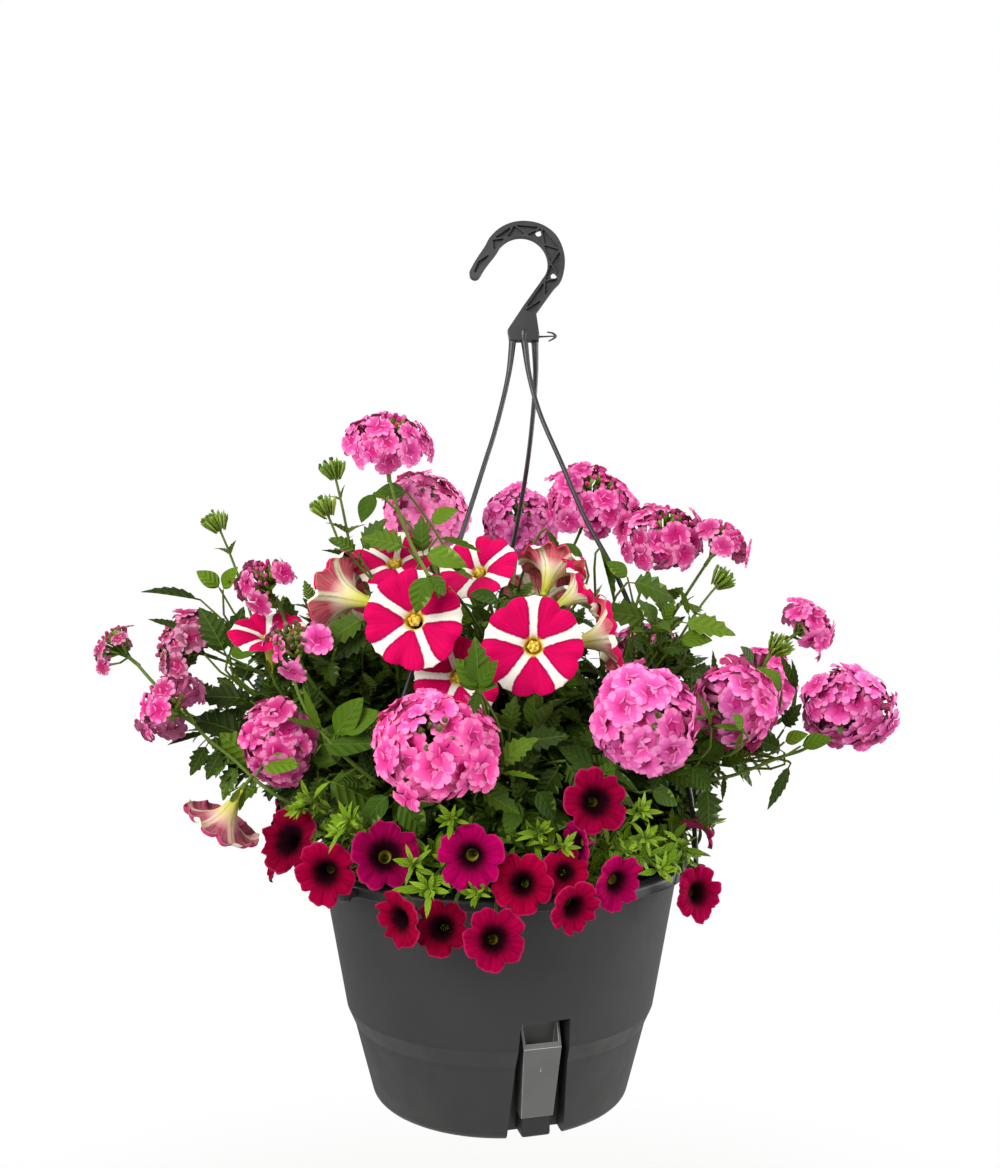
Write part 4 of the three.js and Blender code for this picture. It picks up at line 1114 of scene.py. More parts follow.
def leaf(name, collection, margin, fold, droop, wave=0.0):
    """A leaf along Z with its upper side towards X, from margin points of (distance along, half width)."""
    widest = max(width for _, width in margin)
    points, place = [], []
    for row, (z, width) in enumerate(margin):
        middle = z - VEIN_LEAN * width if 0 < row < len(margin) - 1 else z
        for side, across, along in ((0, width, z), (1, 0, middle), (0, -width, z), (-1, 0, middle)):
            rise = fold * abs(across) - droop * along**2 + wave * math.sin(9 * along + 2 * np.sign(across))
            points.append((side * LEAF_THICKNESS + rise, across, along * (1 - 0.3 * droop**2 * along)))
            place.append((0.5 + 0.5 * across / widest, along))
    faces, uvs = [(3, 2, 1, 0)], [place[3::-1]]
    for row in range(len(margin) - 1):
        for k in range(4):
            low, high = 4 * row + k, 4 * row + (k + 1) % 4
            faces.append((low, high, high + 4, low + 4))
            uvs.append([(place[c][0] + (k > 1), place[c][1]) for c in faces[-1]])
    last = 4 * len(margin) - 4
    faces.append((last, last + 1, last + 2, last + 3))
    uvs.append(place[last:])
    sharp = {(4 * row + side, 4 * row + 4 + side) for row in range(len(margin) - 1) for side in (0, 2)}
    shape(name, collection, points, faces, uvs, sharp)


def toothed(teeth, width, depth=0.34, petiole=0.14):
    """The margin of a toothed leaf."""
    margin = [(0, 0.014), (petiole, 0.016)]
    step = (1 - petiole) / teeth
    for k in range(teeth):
        base = petiole + step * k
        swell = math.sin(math.pi * min(1, (k + 0.75) / teeth) ** 0.8) ** 0.75
        margin.append((base + 0.62 * step, width * swell))
        if k < teeth - 1:
            notch = math.sin(math.pi * ((k + 1) / teeth) ** 0.8) ** 0.75
            margin.append((base + 0.86 * step, width * notch * (1 - depth)))
    return margin + [(1, 0.006)]


def smooth_margin(width, steps=7, peak=0.8):
    """The margin of a smooth leaf."""
    petiole = 0.08
    shares = [(k + 0.5) / steps for k in range(steps)]
    blade = [(petiole + (1 - petiole) * t, width * math.sin(math.pi * t**peak) ** 0.8) for t in shares]
    return [(0, 0.014), (petiole, 0.02)] + blade + [(1, 0.006)]


shape_sets = []


def shape_set(name):
    """A set of shapes that copies are picked from. The sets are cleared away at the end."""
    shape_sets.append(bpy.data.collections.new(name + "_shapes"))
    return shape_sets[-1]


def leaf_set(name, *leaves):
    """A set of leaves from the margin, fold, droop and wave of each."""
    shapes = shape_set(name)
    for i, sizes in enumerate(leaves):
        leaf(f"{name}_{i}", shapes, *sizes)
    return shapes


def revolved_set(name, profile, sides):
    """A closed shape turned about Z from (radius, z) points that start and end on the axis."""
    shapes = shape_set(name)
    points, steps = lathed(profile, sides, closed=False)
    uvs, last = [], len(profile) - 1
    for corners, i, row, second in steps:
        uvs.append([((i + 0.5) / sides, (row + (c >= second)) / last) for c in corners])
    shape(name, shapes, points, [step[0] for step in steps], uvs)
    return shapes


verbena_leaves = leaf_set(
    "verbena_leaf",
    (toothed(5, 0.33), 0.25, 0.35, 0.01),
    (toothed(6, 0.36), 0.12, 0.15, 0.012),
    (toothed(6, 0.3), 0.35, 0.5),
    (toothed(5, 0.35), 0.05, 0.6, 0.014),
    (toothed(5, 0.27), 0.3, 0.1),
)
petunia_leaves = leaf_set(
    "petunia_leaf",
    (smooth_margin(0.32), 0.15, 0.3, 0.01),
    (smooth_margin(0.28), 0.3, 0.1, 0.01),
    (smooth_margin(0.34), 0.05, 0.55, 0.01),
)
calibrachoa_leaves = leaf_set(
    "calibrachoa_leaf",
    (smooth_margin(0.13, 5, 1.1), 0.4, 0.2),
    (smooth_margin(0.16, 5, 1.1), 0.3, -0.15),
    (smooth_margin(0.12, 5, 1.1), 0.2, 0.5),
)
narrow_leaves = leaf_set(
    "narrow_leaf",
    (toothed(6, 0.1, 0.2, 0.1), 0.9, 0.1),
    (toothed(6, 0.12, 0.2, 0.1), 0.6, -0.1),
    (toothed(6, 0.09, 0.2, 0.1), 1.2, 0.2),
)
calyces = revolved_set("calyx", [(0, -1), (0.09, -0.96), (0.11, -0.3), (0.13, 0), (0.07, 0.06), (0, 0.03)], 5)
pointed_profile = [(0, -1), (0.05, -0.96), (0.07, -0.5), (0.095, -0.15), (0.05, 0.1), (0, 0.22)]
pointed_calyces = revolved_set("pointed_calyx", pointed_profile, 5)
bud_profile = [(0, -0.5), (0.1, -0.45), (0.13, 0), (0.3, 0.2), (0.34, 0.45), (0.2, 0.68), (0, 0.74)]
bud_tips = revolved_set("bud_tip", bud_profile, 6)


def green(name, shades, rough, veins=0.0, spacing=7.0):
    """Living green tissue. Leaves have pale veins, swept forwards from the midrib, and are pale beneath."""
    nodes = new_material(name, roughness=rough, specular_ior_level=0.14)
    colours = nodes.family(nodes.attribute("tone"), shades)
    sunlit = nodes.mixed(1.0, colours, "d8dc70", "MULTIPLY")
    colours = nodes.over(colours, sunlit, nodes.grain(60, 3), (0.35, 0.0), (0.7, 0.45))
    height = nodes.grain(900, 3)
    if veins:
        width_share, along = nodes.on_surface()
        across = nodes.off_half(nodes.math("FRACT", width_share))
        sweep = nodes.minus(nodes.times(along, spacing), nodes.times(across, 3.2))
        ridge = nodes.off_half(nodes.math("FRACT", sweep))
        lateral = nodes.ramp(ridge, [(0.02, 1.0), (0.1, 0.0)])
        midrib = nodes.ramp(across, [(0.012, 1.0), (0.035, 0.0)])
        lines = nodes.math("MAXIMUM", nodes.times(lateral, 0.6), midrib)
        colours = nodes.mixed(nodes.times(lines, veins), colours, "9ab03c")
        puckered = nodes.ramp(ridge, [(0.0, 0.0), (0.5, 1.0)], smooth=True)
        height = nodes.plus(nodes.times(nodes.grain(260, 3), 0.8), nodes.minus(puckered, lines))
        beneath = nodes.math("GREATER_THAN", width_share, 1.0)
        colours = nodes.mixed(nodes.times(beneath, 0.6), colours, "7c9440")
    return nodes.finished(colours, height, 0.0009, 0.6)


# Each row of leaf greens runs from near black, which paints leaves in deep shade, to pale.
verbena_leaf_finish = green("verbena_leaf", ["151f05", "2c4208", "46600c", "688412"], 0.55, 0.13)
petunia_leaf_finish = green("petunia_leaf", ["182606", "2f4a08", "4a680c", "6c8a16"], 0.6, 0.1, 5)
calibrachoa_leaf_finish = green("calibrachoa_leaf", ["2c4608", "4c6e10", "709416", "98b838"], 0.5, 0.14, 4)
stem_finish = green("green_stem", ["5a6f2a", "8a9c4c", "adbd70"], 0.5)
calyx_finish = green("green_calyx", ["46601a", "708c2c", "a0b458"], 0.6)

# Each flower's middle and radius, and the eye that should see it.
SCREENS = []
for place, azimuth, elevation, radius, *_ in VERBENA_HEADS + PETUNIAS + sum(CALIBRACHOA_SPRAYS.values(), []):
    behind = facing_frame(azimuth, elevation)[2][1] > 0.3 and place[1] > 40
    eye = np.array(EYE, float) * (1, -1 if behind else 1, 1)
    SCREENS.append((np.array(place, float), radius * 0.95, eye))


def hides_flower(place, margin=1.0):
    """Whether something at this place would stand in front of a flower or in it."""
    for middle, radius, eye in SCREENS:
        if np.linalg.norm(place - middle) < radius:
            return True
        line = eye - middle
        share = np.dot(place - middle, line) / np.dot(line, line)
        if share > 0 and np.linalg.norm(place - middle - line * share) < radius * margin:
            return True
    return False


def in_pot_wall(place):
    reach = math.hypot(place[0], place[1])
    inside_wall = place[2] < POT_HEIGHT + 4 and reach > wall_radius(min(place[2], SOIL_CROWN)) - 6
    return inside_wall or place[2] < SOIL_EDGE


def leafy_shoot(path, rng, length, spacing, start, shade):
    """Opposite pairs of leaves along a shoot, each pair crosswise to the last, as spots for leaf copies."""
    spots = []
    path = np.asarray(path)[:, :3]
    steps = np.linalg.norm(np.diff(path, axis=0), axis=1)
    along = np.concatenate([[0], np.cumsum(steps)])
    turn = rng.uniform(0, math.pi)
    distance = along[-1] * start
    while distance < along[-1] + 1:
        share = distance / along[-1]
        stations = (distance, min(distance + 3, along[-1]), distance - 3)
        place, ahead, before = np.column_stack([np.interp(stations, along, path[:, k]) for k in range(3)])
        direction = unit(ahead - before)
        side = unit(np.cross(direction, (0.3, 0.2, 1)))
        other = np.cross(direction, side)
        size = length * (1 - 0.5 * max(0, share - 0.6) / 0.4) * rng.uniform(0.8, 1.12)
        spread = 1.15 - 0.75 * max(0, share - 0.75) / 0.25
        for flip in (0, math.pi):
            out = side * math.cos(turn + flip) + other * math.sin(turn + flip)
            out = unit(out + np.array([0, 0, 0.25]) + [rng.uniform(-0.2, 0.2) for _ in range(3)])
            grow = unit(out * spread + direction * (1.35 - spread * 0.6))
            top = unit(direction + np.array([0, -0.15, 0.7]) - grow * 0.2)
            if not hides_flower(place + grow * size * 0.55) and not in_pot_wall(place + grow * size * 0.7):
                tone = clamped(shade + 0.35 * (share - 0.5) + rng.uniform(-0.18, 0.22))
                spots.append((place, grow, top, size, tone, 0))
        turn += math.pi / 2 + rng.uniform(-0.3, 0.3)
        distance += spacing * rng.uniform(0.85, 1.15) * (1 - 0.45 * max(0, share - 0.7) / 0.3)
    return spots


def on_swell(middle, radii, count, rng):
    """Evenly spread tips on a swell of leaves, except near its underside."""
    tips = []
    for i in range(count):
        height = 1 - (1 - SWELL_FLOOR) * (i + 0.5) / count
        across = math.sqrt(1 - height**2)
        turn = i * GOLDEN_ANGLE + rng.uniform(-0.3, 0.3)
        out = np.array([across * math.cos(turn), across * math.sin(turn), height]) * rng.uniform(0.86, 1.06)
        tips.append((np.array(middle) + out * radii, unit(out / radii)))
    return tips


def bud_head(place, axis, rng):
    """A young verbena head: a cup of calyces with a few dark bud tips, as spots for both."""
    green_spots, tip_spots = [], []
    right = unit(np.cross(axis, (0.2, 0.9, 0.1)))
    across = np.cross(axis, right)
    base = np.asarray(place) - axis * BUD_HEAD_RADIUS * 0.7
    for i in range(BUD_HEAD_CALYCES):
        polar = math.radians(62) * math.sqrt((i + 0.3) / BUD_HEAD_CALYCES)
        turn = i * GOLDEN_ANGLE + rng.uniform(-0.2, 0.2)
        out = axis * math.cos(polar) + math.sin(polar) * (right * math.cos(turn) + across * math.sin(turn))
        length = BUD_HEAD_RADIUS * rng.uniform(1.1, 1.35)
        end, up = base + out * length, unit(out + axis * 0.8)
        green_spots.append((end, up, right, length, rng.uniform(0.2, 0.9), 0))
        if i % 5 == 1:
            tip_spots.append((end, up, right, BUD_HEAD_RADIUS * 0.42, rng.uniform(0, 0.3), 1.0))
    return green_spots, tip_spots


for area, swells in SWELLS.items():
    rng = random.Random(f"leaves {area}")
    crown = np.array(CROWNS[area], float)
    verbena_spots, petunia_spots, narrow_spots, calyx_spots, tip_spots, stems = [], [], [], [], [], []
    for middle, radii, count in swells:
        for tip, out in on_swell(middle, np.array(radii, float), count, rng):
            root = crown + [rng.uniform(-25, 25), rng.uniform(-20, 20), -30]
            root[2] = 150
            path = bezier([root, root * 0.4 + np.array(middle) * 0.6, tip - out * 22, tip], 12)
            petunia = area in ("middle", "front") and rng.random() < 0.5
            # Painted shade: leaves on shoots that end low are darker, as deep inside the foliage.
            shade = 0.45 if tip[2] > 300 else 0.22
            spots = leafy_shoot(path, rng, LEAF_LENGTH, 13 if petunia else 15, 0.18, shade)
            (petunia_spots if petunia else verbena_spots).extend(spots)
            if not hides_flower(tip, 0.6):
                stems.append(tapered(path, 1.4, 0.7))
    for place, start in BUD_HEADS.get(area, []):
        place, start = np.array(place, float), np.array(start, float)
        bend = np.array([*(place + start)[:2] / 2, (2 * place[2] + start[2]) / 3])
        path = bezier([start, bend, place], 10)
        stems.append(tapered(path, 1.1, 0.8))
        verbena_spots += leafy_shoot(path[:8], rng, LEAF_LENGTH * 0.55, 24, 0.25, 0.6)
        greens, tips = bud_head(place, unit(place - bend), rng)
        calyx_spots += greens
        tip_spots += tips
    for x, y, z, tip_x, tip_z, kind, tone, *depth in SHOWN_LEAVES.get(area, []):
        depth = depth[0] if depth else 3 if kind == "n" else 8
        base, end = np.array([x, y, z], float), np.array([tip_x, y - depth, tip_z], float)
        grow, length = unit(end - base), np.linalg.norm(end - base) * 1.04
        spots = {"t": verbena_spots, "s": petunia_spots, "n": narrow_spots}[kind]
        spots.append((base, grow, (rng.uniform(-0.3, 0.3), -0.8, 0.6), length, tone, 0))
        stems.append(tapered(stem_to(crown, base, grow * 0.6 + [0, 0, 0.5], 10), 1.4, 0.7))
    parts = [rods("shoots", stems, stem_finish, 6)]
    for name, spots, shapes, finish, *spread in (
        ("toothed_leaves", verbena_spots, verbena_leaves, verbena_leaf_finish),
        ("smooth_leaves", petunia_spots, petunia_leaves, petunia_leaf_finish),
        ("narrow_leaves", narrow_spots, narrow_leaves, verbena_leaf_finish, 1, 0),
        ("bud_calyces", calyx_spots, pointed_calyces, calyx_finish),
        ("bud_tips", tip_spots, bud_tips, calyx_finish),
    ):
        if spots:
            parts.append(copies(name, spots, shapes, finish, *spread))
    settled(joined(f"foliage_{area}", parts), f"leaves_{area}")

# Bright shoot tips of the calibrachoas over the rim: place and leaf length.
RIM_TIPS = [
    ((-38, -158, 170), 17), ((-46, -152, 182), 13), ((-106, -128, 212), 15), ((-112, -122, 206), 12),
    ((-26, -150, 206), 13), ((-82, -140, 203), 14), ((-88, -138, 196), 12), ((78, -130, 206), 14),
    ((82, -128, 190), 13), ((90, -124, 172), 15), ((34, -146, 190), 12), ((22, -146, 198), 12),
    ((-12, -150, 166), 11), ((70, -132, 184), 12),
]
RIM_SHOOTS = 56
ROOT_RADIUS = 96
TIP_LEAVES = 11


def shoot_tip(place, length, rng):
    """A rosette of small leaves that opens towards the light, as spots for leaf copies."""
    axis = unit((place[0] * 0.006 + rng.uniform(-0.3, 0.3), -0.75, rng.uniform(0.1, 0.7)))
    right = unit(np.cross(axis, (0, 0, 1)))
    above = np.cross(right, axis)
    spots = []
    for k in range(TIP_LEAVES):
        turn = k * GOLDEN_ANGLE
        out = right * math.cos(turn) + above * math.sin(turn)
        grow = unit(axis + out * (0.25 + 0.95 * (1 - k / TIP_LEAVES)))
        size = length * (1.05 - 0.045 * k) * rng.uniform(0.85, 1.1)
        tone = min(1, 0.62 + 0.04 * k + rng.uniform(-0.1, 0.1))
        spots.append((place + axis * (0.4 * k - 2), grow, unit(axis - out * 0.3), size, tone, 0))
    return spots


rng = random.Random("leaves on rim")
rim_spots, stems = [], []
for i in range(RIM_SHOOTS):
    azimuth = i * 360 / RIM_SHOOTS + rng.uniform(-3, 3)
    root = np.array(on_circle(azimuth, ROOT_RADIUS, 150))
    over = np.array(on_circle(azimuth + rng.uniform(-8, 8), 118, 172 + rng.uniform(-3, 8)))
    tip = np.array(on_circle(azimuth + rng.uniform(-14, 14), rng.uniform(128, 142), rng.uniform(158, 196)))
    path = bezier([root, over, over * 0.5 + tip * 0.5 + (0, 0, 8), tip], 9)
    rim_spots += leafy_shoot(path, rng, 19, 6, 0.25, 0.6)
    stems.append(tapered(path, 1.1, 0.7))
for place, length in RIM_TIPS:
    place = np.array(place, float)
    azimuth = math.degrees(math.atan2(place[0], -place[1]))
    root = np.array(on_circle(azimuth, ROOT_RADIUS, 150))
    over = np.array(on_circle(azimuth, 122, min(place[2] + 10, 185)))
    path = bezier([root, over, place * 0.6 + over * 0.4 + (0, 0, 5), place], 9)
    rim_spots += leafy_shoot(path, rng, 15, 9, 0.45, 0.7) + shoot_tip(place, length, rng)
    stems.append(tapered(path, 1.1, 0.8))
rim_leaves = copies("narrow_leaves", rim_spots, calibrachoa_leaves, calibrachoa_leaf_finish)
rim_growth = joined("foliage_on_rim", [rods("trailing_stems", stems, stem_finish, 6), rim_leaves])
settled(rim_growth, "leaves_on_rim")

# ---- Verbena heads ----
# Each is a domed cluster of small five-petalled florets on a stem, from green bud through half open to full.
# The petals are thin and soft, notched at their ends, pink to magenta, with a darker throat and a tiny eye.

# The kind, tint and floret radius of each head. The tint picks the head's colour from the row of pinks and
# is partly painted light and shade, as some heads get a lighter or darker tint than their own colour.
HEAD_KINDS = [
    ("full", 0.25, 10.4), ("closed", 0.5, 11.6), ("behind", 0.42, 10.8), ("behind", 0.55, 10.0),
    ("open", 0.64, 9.0), ("open", 0.68, 9.5), ("closed", 0.0, 9.8), ("open", 0.7, 10.0),
    ("full", 0.55, 9.8), ("open", 0.78, 9.5), ("young", 0.74, 8.5), ("young", 0.86, 9.0),
    ("open", 0.96, 9.5), ("bud", 1.0, 6.5), ("sparse", 0.82, 9.0), ("closed", 0.8, 9.8),
    ("young", 0.68, 9.5), ("full", 0.5, 10.0), ("full", 0.25, 9.8), ("full", 0.6, 9.8),
    ("open", 0.4, 9.5),
]
# Kind: share of the florets kept, from and to polar angle, buds at the pole.
HEAD_SPREADS = {
    "full": (1.0, 17, 114, 8),
    "closed": (1.0, 12, 114, 4),
    "behind": (1.0, 24, 160, 8),
    "open": (0.7, 28, 106, 14),
    "sparse": (0.45, 30, 110, 12),
    "young": (0.42, 34, 92, 20),
    "bud": (0.3, 40, 85, 26),
}
# The heads that have grown longer than wide, with their width over their length.
HEAD_WIDTHS = {2: 0.92, 16: 0.74}
# The one young head whose buds are still green, as they are on the full, closed and turned-away heads.
GREEN_BUDDED = 17
# Stems that show, from behind the head down.
SHOWN_STEMS = {
    17: [(-119, -112, 283), (-113, -116, 266), (-102, -119, 250), (-86, -117, 233), (-69, -102, 216)],
    15: [(-193, -70, 258), (-181, -68, 241), (-164, -70, 228), (-144, -76, 212), (-127, -72, 201)],
    6: [(-74, -20, 410), (-67, -34, 387), (-53, -80, 357), (-40, -118, 337), (-32, -96, 318)],
    12: [(-138, -58, 324), (-130, -66, 305), (-121, -70, 283)],
    5: [(185, -30, 300), (177, -30, 294), (168, -32, 277), (162, -30, 257)],
    4: [(212, -52, 248), (191, -56, 232), (174, -56, 226), (145, -52, 214), (120, -44, 209)],
    14: [(-239, -12, 281), (-223, -20, 266), (-205, -30, 252)],
}
# Radius and height of a floret's tube at its mouth and foot.
TUBE_ENDS = ((0.13, -0.05), (0.07, -1.25))
# One number of a petal's map is its distance from the flower's middle, with this added on the underside.
UNDERSIDE = 2.0
# Half of a petal's rim, as (angle, radius, rise). Its end curls by the last share.
PETAL_RIM = [
    (34, 0.3, 0.07, 0), (40, 0.56, 0.17, 0), (41, 0.8, 0.17, 0), (31, 0.96, 0.14, 1), (17, 1.03, 0.12, 1),
    (6, 1.0, 0.16, 0),
]


def floret(name, collection, rng):
    """A floret of unit radius that faces Z: five notched petals over a narrow tube."""
    corners = np.radians(np.arange(5) * 72 - 36)
    points = [(radius * math.cos(a), radius * math.sin(a), z) for radius, z in TUBE_ENDS for a in corners]
    faces, sharp = [(4, 3, 2, 1, 0)[::-1], (5, 6, 7, 8, 9)[::-1]], set()
    for k in range(5):
        reach, lift, curl = rng.uniform(0.9, 1.06), rng.uniform(-0.14, 0.18), rng.uniform(0, 0.14)
        half = [(angle, radius, rise - curl * share) for angle, radius, rise, share in PETAL_RIM]
        marks = [(-angle, radius, rise + 0.03) for angle, radius, rise in half] + [(0, 0.88, 0.21)]
        marks += half[::-1] + [(0, 0.58, 0.2)]
        first = len(points)
        for angle, radius, rise in marks:
            a = math.radians(72 * k + angle + rng.uniform(-1.5, 1.5))
            radius *= reach * rng.uniform(0.985, 1.015)
            rise += lift * radius + rng.uniform(-0.03, 0.03)
            points.append((radius * math.cos(a), radius * math.sin(a), rise))
        middle = len(points) - 1
        rim = tuple(range(first, middle))
        left, right, after = k, (k + 1) % 5, (middle + 1 if k < 4 else 10)
        faces += [(right, rim[-1], rim[0], left), (rim[-1], middle, rim[0])]
        faces += [(middle, *rim[i : i + 3][::-1]) for i in range(0, len(rim) - 1, 2)]
        faces += [rim, (right + 5, left + 5, rim[0], rim[-1])]
        faces += [(right + 5, rim[-1], right), (right + 5, right, after)]
        sharp |= {tuple(sorted(pair)) for pair in zip(rim, rim[1:])}
        sharp |= {(rim[0], rim[-1]), tuple(sorted((left, right)))}
    uvs = []
    for face in faces:
        under = UNDERSIDE if len(face) > 5 or min(points[v][2] for v in face) < -1 else 0
        places = [points[v][:2] for v in face]
        uvs.append([(math.hypot(x, y) + under, math.atan2(y, x) / math.tau + 0.5) for x, y in places])
    shape(name, collection, points, faces, uvs, sharp)


floret_shapes = shape_set("floret")
for i in range(6):
    floret(f"floret_{i}", floret_shapes, random.Random(f"floret {i}"))


def petal_finish(name, family, throat, eye, throat_reach, tip_share):
    """Soft petals: colours by tint, a darker throat round a small eye, paler tips, fine streaks, and painted
    shade and light by tone.
    """
    nodes = new_material(name, roughness=0.75, specular_ior_level=0.08)
    tint, tone = nodes.attribute("tint"), nodes.attribute("tone")
    reach, _ = nodes.on_surface()
    radial = nodes.math("MODULO", reach, UNDERSIDE)
    streaks = nodes.grain(500, 4)
    base = nodes.family(tint, family)
    pale = nodes.mixed(tip_share, base, (1, 0.5, 0.75, 1))
    deep = nodes.mixed(0.75, base, throat)
    colours = nodes.over(base, pale, radial, (throat_reach, 0.0), (1.0, 1.0))
    throat_stops = [(throat_reach * 0.3, 1.0), (throat_reach * 1.6, 0.0)]
    colours = nodes.over(colours, deep, radial, *throat_stops, smooth=True)
    colours = nodes.over(colours, eye, radial, (0.04, 0.6), (0.11, 0.0))
    # Painted shade and light: a low tone darkens the petals towards the throat colour, a high one lightens
    # them.
    colours = nodes.over(colours, deep, tone, (0.0, 0.35), (0.3, 0.0))
    colours = nodes.over(colours, (1, 0.6, 0.85, 1), tone, (0.3, 0.0), (1.0, 0.1))
    beneath = nodes.math("GREATER_THAN", reach, UNDERSIDE - 0.4)
    colours = nodes.mixed(nodes.times(beneath, 0.3), colours, (1, 0.45, 0.7, 1))
    colours = nodes.over(colours, throat, streaks, (0.35, 0.12), (0.65, 0.0))
    return nodes.finished(colours, streaks, 0.0003, 0.4)


# The row runs from light pink to magenta, and its dark end also paints some heads as shaded.
pinks = ["f880c0", "e83a92", "d250a2", "c0267a", "6c2838"]
verbena_petals = petal_finish("verbena_petals", pinks, "b01660", "6a1040", 0.42, 0.2)
bud_petals = petal_finish("verbena_bud_petals", ["4a5a1c", "5a5a24", "6a3a30"], "3c3a18", "3a0f20", 0.3, 0.1)

for number, (head, (kind, tint, size)) in enumerate(zip(VERBENA_HEADS, HEAD_KINDS), 1):
    rng = random.Random(f"verbena {number}")
    place, azimuth, elevation, radius, crown = head
    frame_of = facing_frame(azimuth, elevation)
    facing = frame_of[2]
    place = np.array(place, float)
    share, nearest, widest, buds = HEAD_SPREADS[kind]
    near_height, wide_height = math.cos(math.radians(nearest)), math.cos(math.radians(widest))
    dome_area = 2 * math.pi * (near_height - wide_height) * (radius * 0.86) ** 2
    count = round(share * dome_area / (size**2 * 1.45))
    florets, calyx_spots, bud_spots = [], [], []
    for i in range(count + buds):
        if i < buds:
            polar = math.radians(nearest + 6) * math.sqrt((i + 0.3) / buds)
        else:
            t = (i - buds + 0.5) / count
            polar = math.acos((1 - t) * near_height + t * wide_height) + rng.uniform(-0.07, 0.07)
        turn = i * GOLDEN_ANGLE + rng.uniform(-0.15, 0.15)
        out = np.array([math.sin(polar) * math.cos(turn), math.sin(polar) * math.sin(turn), math.cos(polar)])
        dome = out * (HEAD_WIDTHS.get(number, 1), 1, 0.76 if out[2] > 0 else 0.6) @ frame_of * radius
        out = out @ frame_of
        normal = unit(out + 0.18 * facing + [rng.uniform(-0.36, 0.36) for _ in range(3)])
        up = [rng.uniform(-1, 1) for _ in range(3)]
        # Painted shade and light: a random low tone darkens a floret as if shaded by its neighbours, and
        # florets that face down are painted lighter.
        tone = rng.uniform(0, 0.45) + 0.35 * max(0, -normal[2])
        lump = 1 + (0.08 if share == 1 else 0.16) * noise.noise(Vector(out) * 1.8 + Vector((number, 0, 0)))
        base = place + dome * lump * (rng.uniform(0.82, 0.92) if i % 4 else rng.uniform(0.7, 0.78))
        if i < buds:
            low = place + dome * 0.84
            bud_size = size * 0.52 * rng.uniform(0.8, 1.2)
            bud_spots.append((low, normal, up, bud_size, rng.uniform(0, 0.5), tint))
            calyx_spots.append((low, normal, up, size * 1.15, rng.uniform(0.2, 0.8), 0))
        else:
            floret_size, shade = size * rng.uniform(0.9, 1.08), clamped(tint + rng.uniform(-0.08, 0.08))
            florets.append((base, normal, up, floret_size, tone, shade))
            low = base - normal * size * 1.05
            calyx_spots.append((low, normal, up, size * 1.1, rng.uniform(0.2, 0.8), 0))
    heart = place - facing * radius * 0.35
    foot = place - facing * 0.8 * radius
    stem = stem_to(CROWNS[crown], foot, facing)
    if number in SHOWN_STEMS:
        bends = [foot] + SHOWN_STEMS[number]
        below = (np.array(bends[-1]) + CROWNS[crown]) / 2
        stem = smooth_path([*bends, below, CROWNS[crown]], 6)[::-1]
    spine = np.array([stem[-1], heart, place + facing * 0.3 * radius])
    rays = []
    for spot, normal, *_ in calyx_spots:
        ray = np.array([heart + facing * rng.uniform(-0.2, 0.5) * radius, spot - normal * size * 0.9])
        rays.append(tapered(ray, 0.7, 0.7))
    parts = [rods("stem", [tapered(stem, 1.4, 1.0), tapered(spine, 1.4, 1.2)], stem_finish, 6)]
    parts.append(rods("rays", rays, calyx_finish, 4))
    if florets:
        parts.append(copies("florets", florets, floret_shapes, verbena_petals, number, 0.06))
    parts.append(copies("calyces", calyx_spots, calyces, calyx_finish, number))
    green_buds = number == GREEN_BUDDED or kind in ("full", "closed", "behind")
    parts.append(copies("buds", bud_spots, bud_tips, bud_petals if green_buds else verbena_petals, number))
    settled(joined(f"verbena_{number:02d}", parts), f"verbena_head_{number:02d}")

# ---- Petunias ----
# Velvety funnels of one thin petal tube that opens into five lobes, red with a white star whose rays run
# along the lobes and flare at the rim, an olive throat with pale anthers, and a green calyx on a stem.

# How far each flower is turned about its own mouth, in degrees.
PETUNIA_ROLLS = [5, 18, 40, 12, 30, 0, 25, 10, 40, 0, 20, 0, 30]
# The (radius, z) shares of an open funnel and of one that is still opening, and the numbers of the latter.
PETUNIA_PROFILE = [
    (0.0, -1.25), (0.07, -1.22), (0.085, -1.05), (0.11, -0.75), (0.14, -0.45), (0.18, -0.27), (0.27, -0.16),
    (0.45, -0.09), (0.65, -0.04), (0.85, -0.01), (1.0, -0.04),
]
OPENING_PROFILE = [
    (0.0, -1.25), (0.07, -1.22), (0.09, -1.05), (0.14, -0.8), (0.22, -0.56), (0.34, -0.38), (0.5, -0.25),
    (0.68, -0.15), (0.84, -0.12), (0.94, -0.17), (1.0, -0.26),
]
OPENING = (6, 8, 9, 10, 11)
# The number of the flower with duller colours.
DUSKY = 11
# A lobe's reach and rise from its middle to the notch beside it.
PETUNIA_EDGE = ([0, 0.08, 0.2, 0.45, 0.7, 0.88, 1], [1.0, 0.98, 0.965, 1.0, 0.99, 0.96, 0.915])
PETUNIA_FOLDS = ([0, 0.25, 0.6, 0.85, 1], [-0.05, 0.0, 0.04, 0.02, -0.05])
STAR_WIDTHS = [(0.12, 0.1), (0.25, 0.07), (0.5, 0.07), (0.75, 0.084), (0.9, 0.12), (1.0, 0.17)]


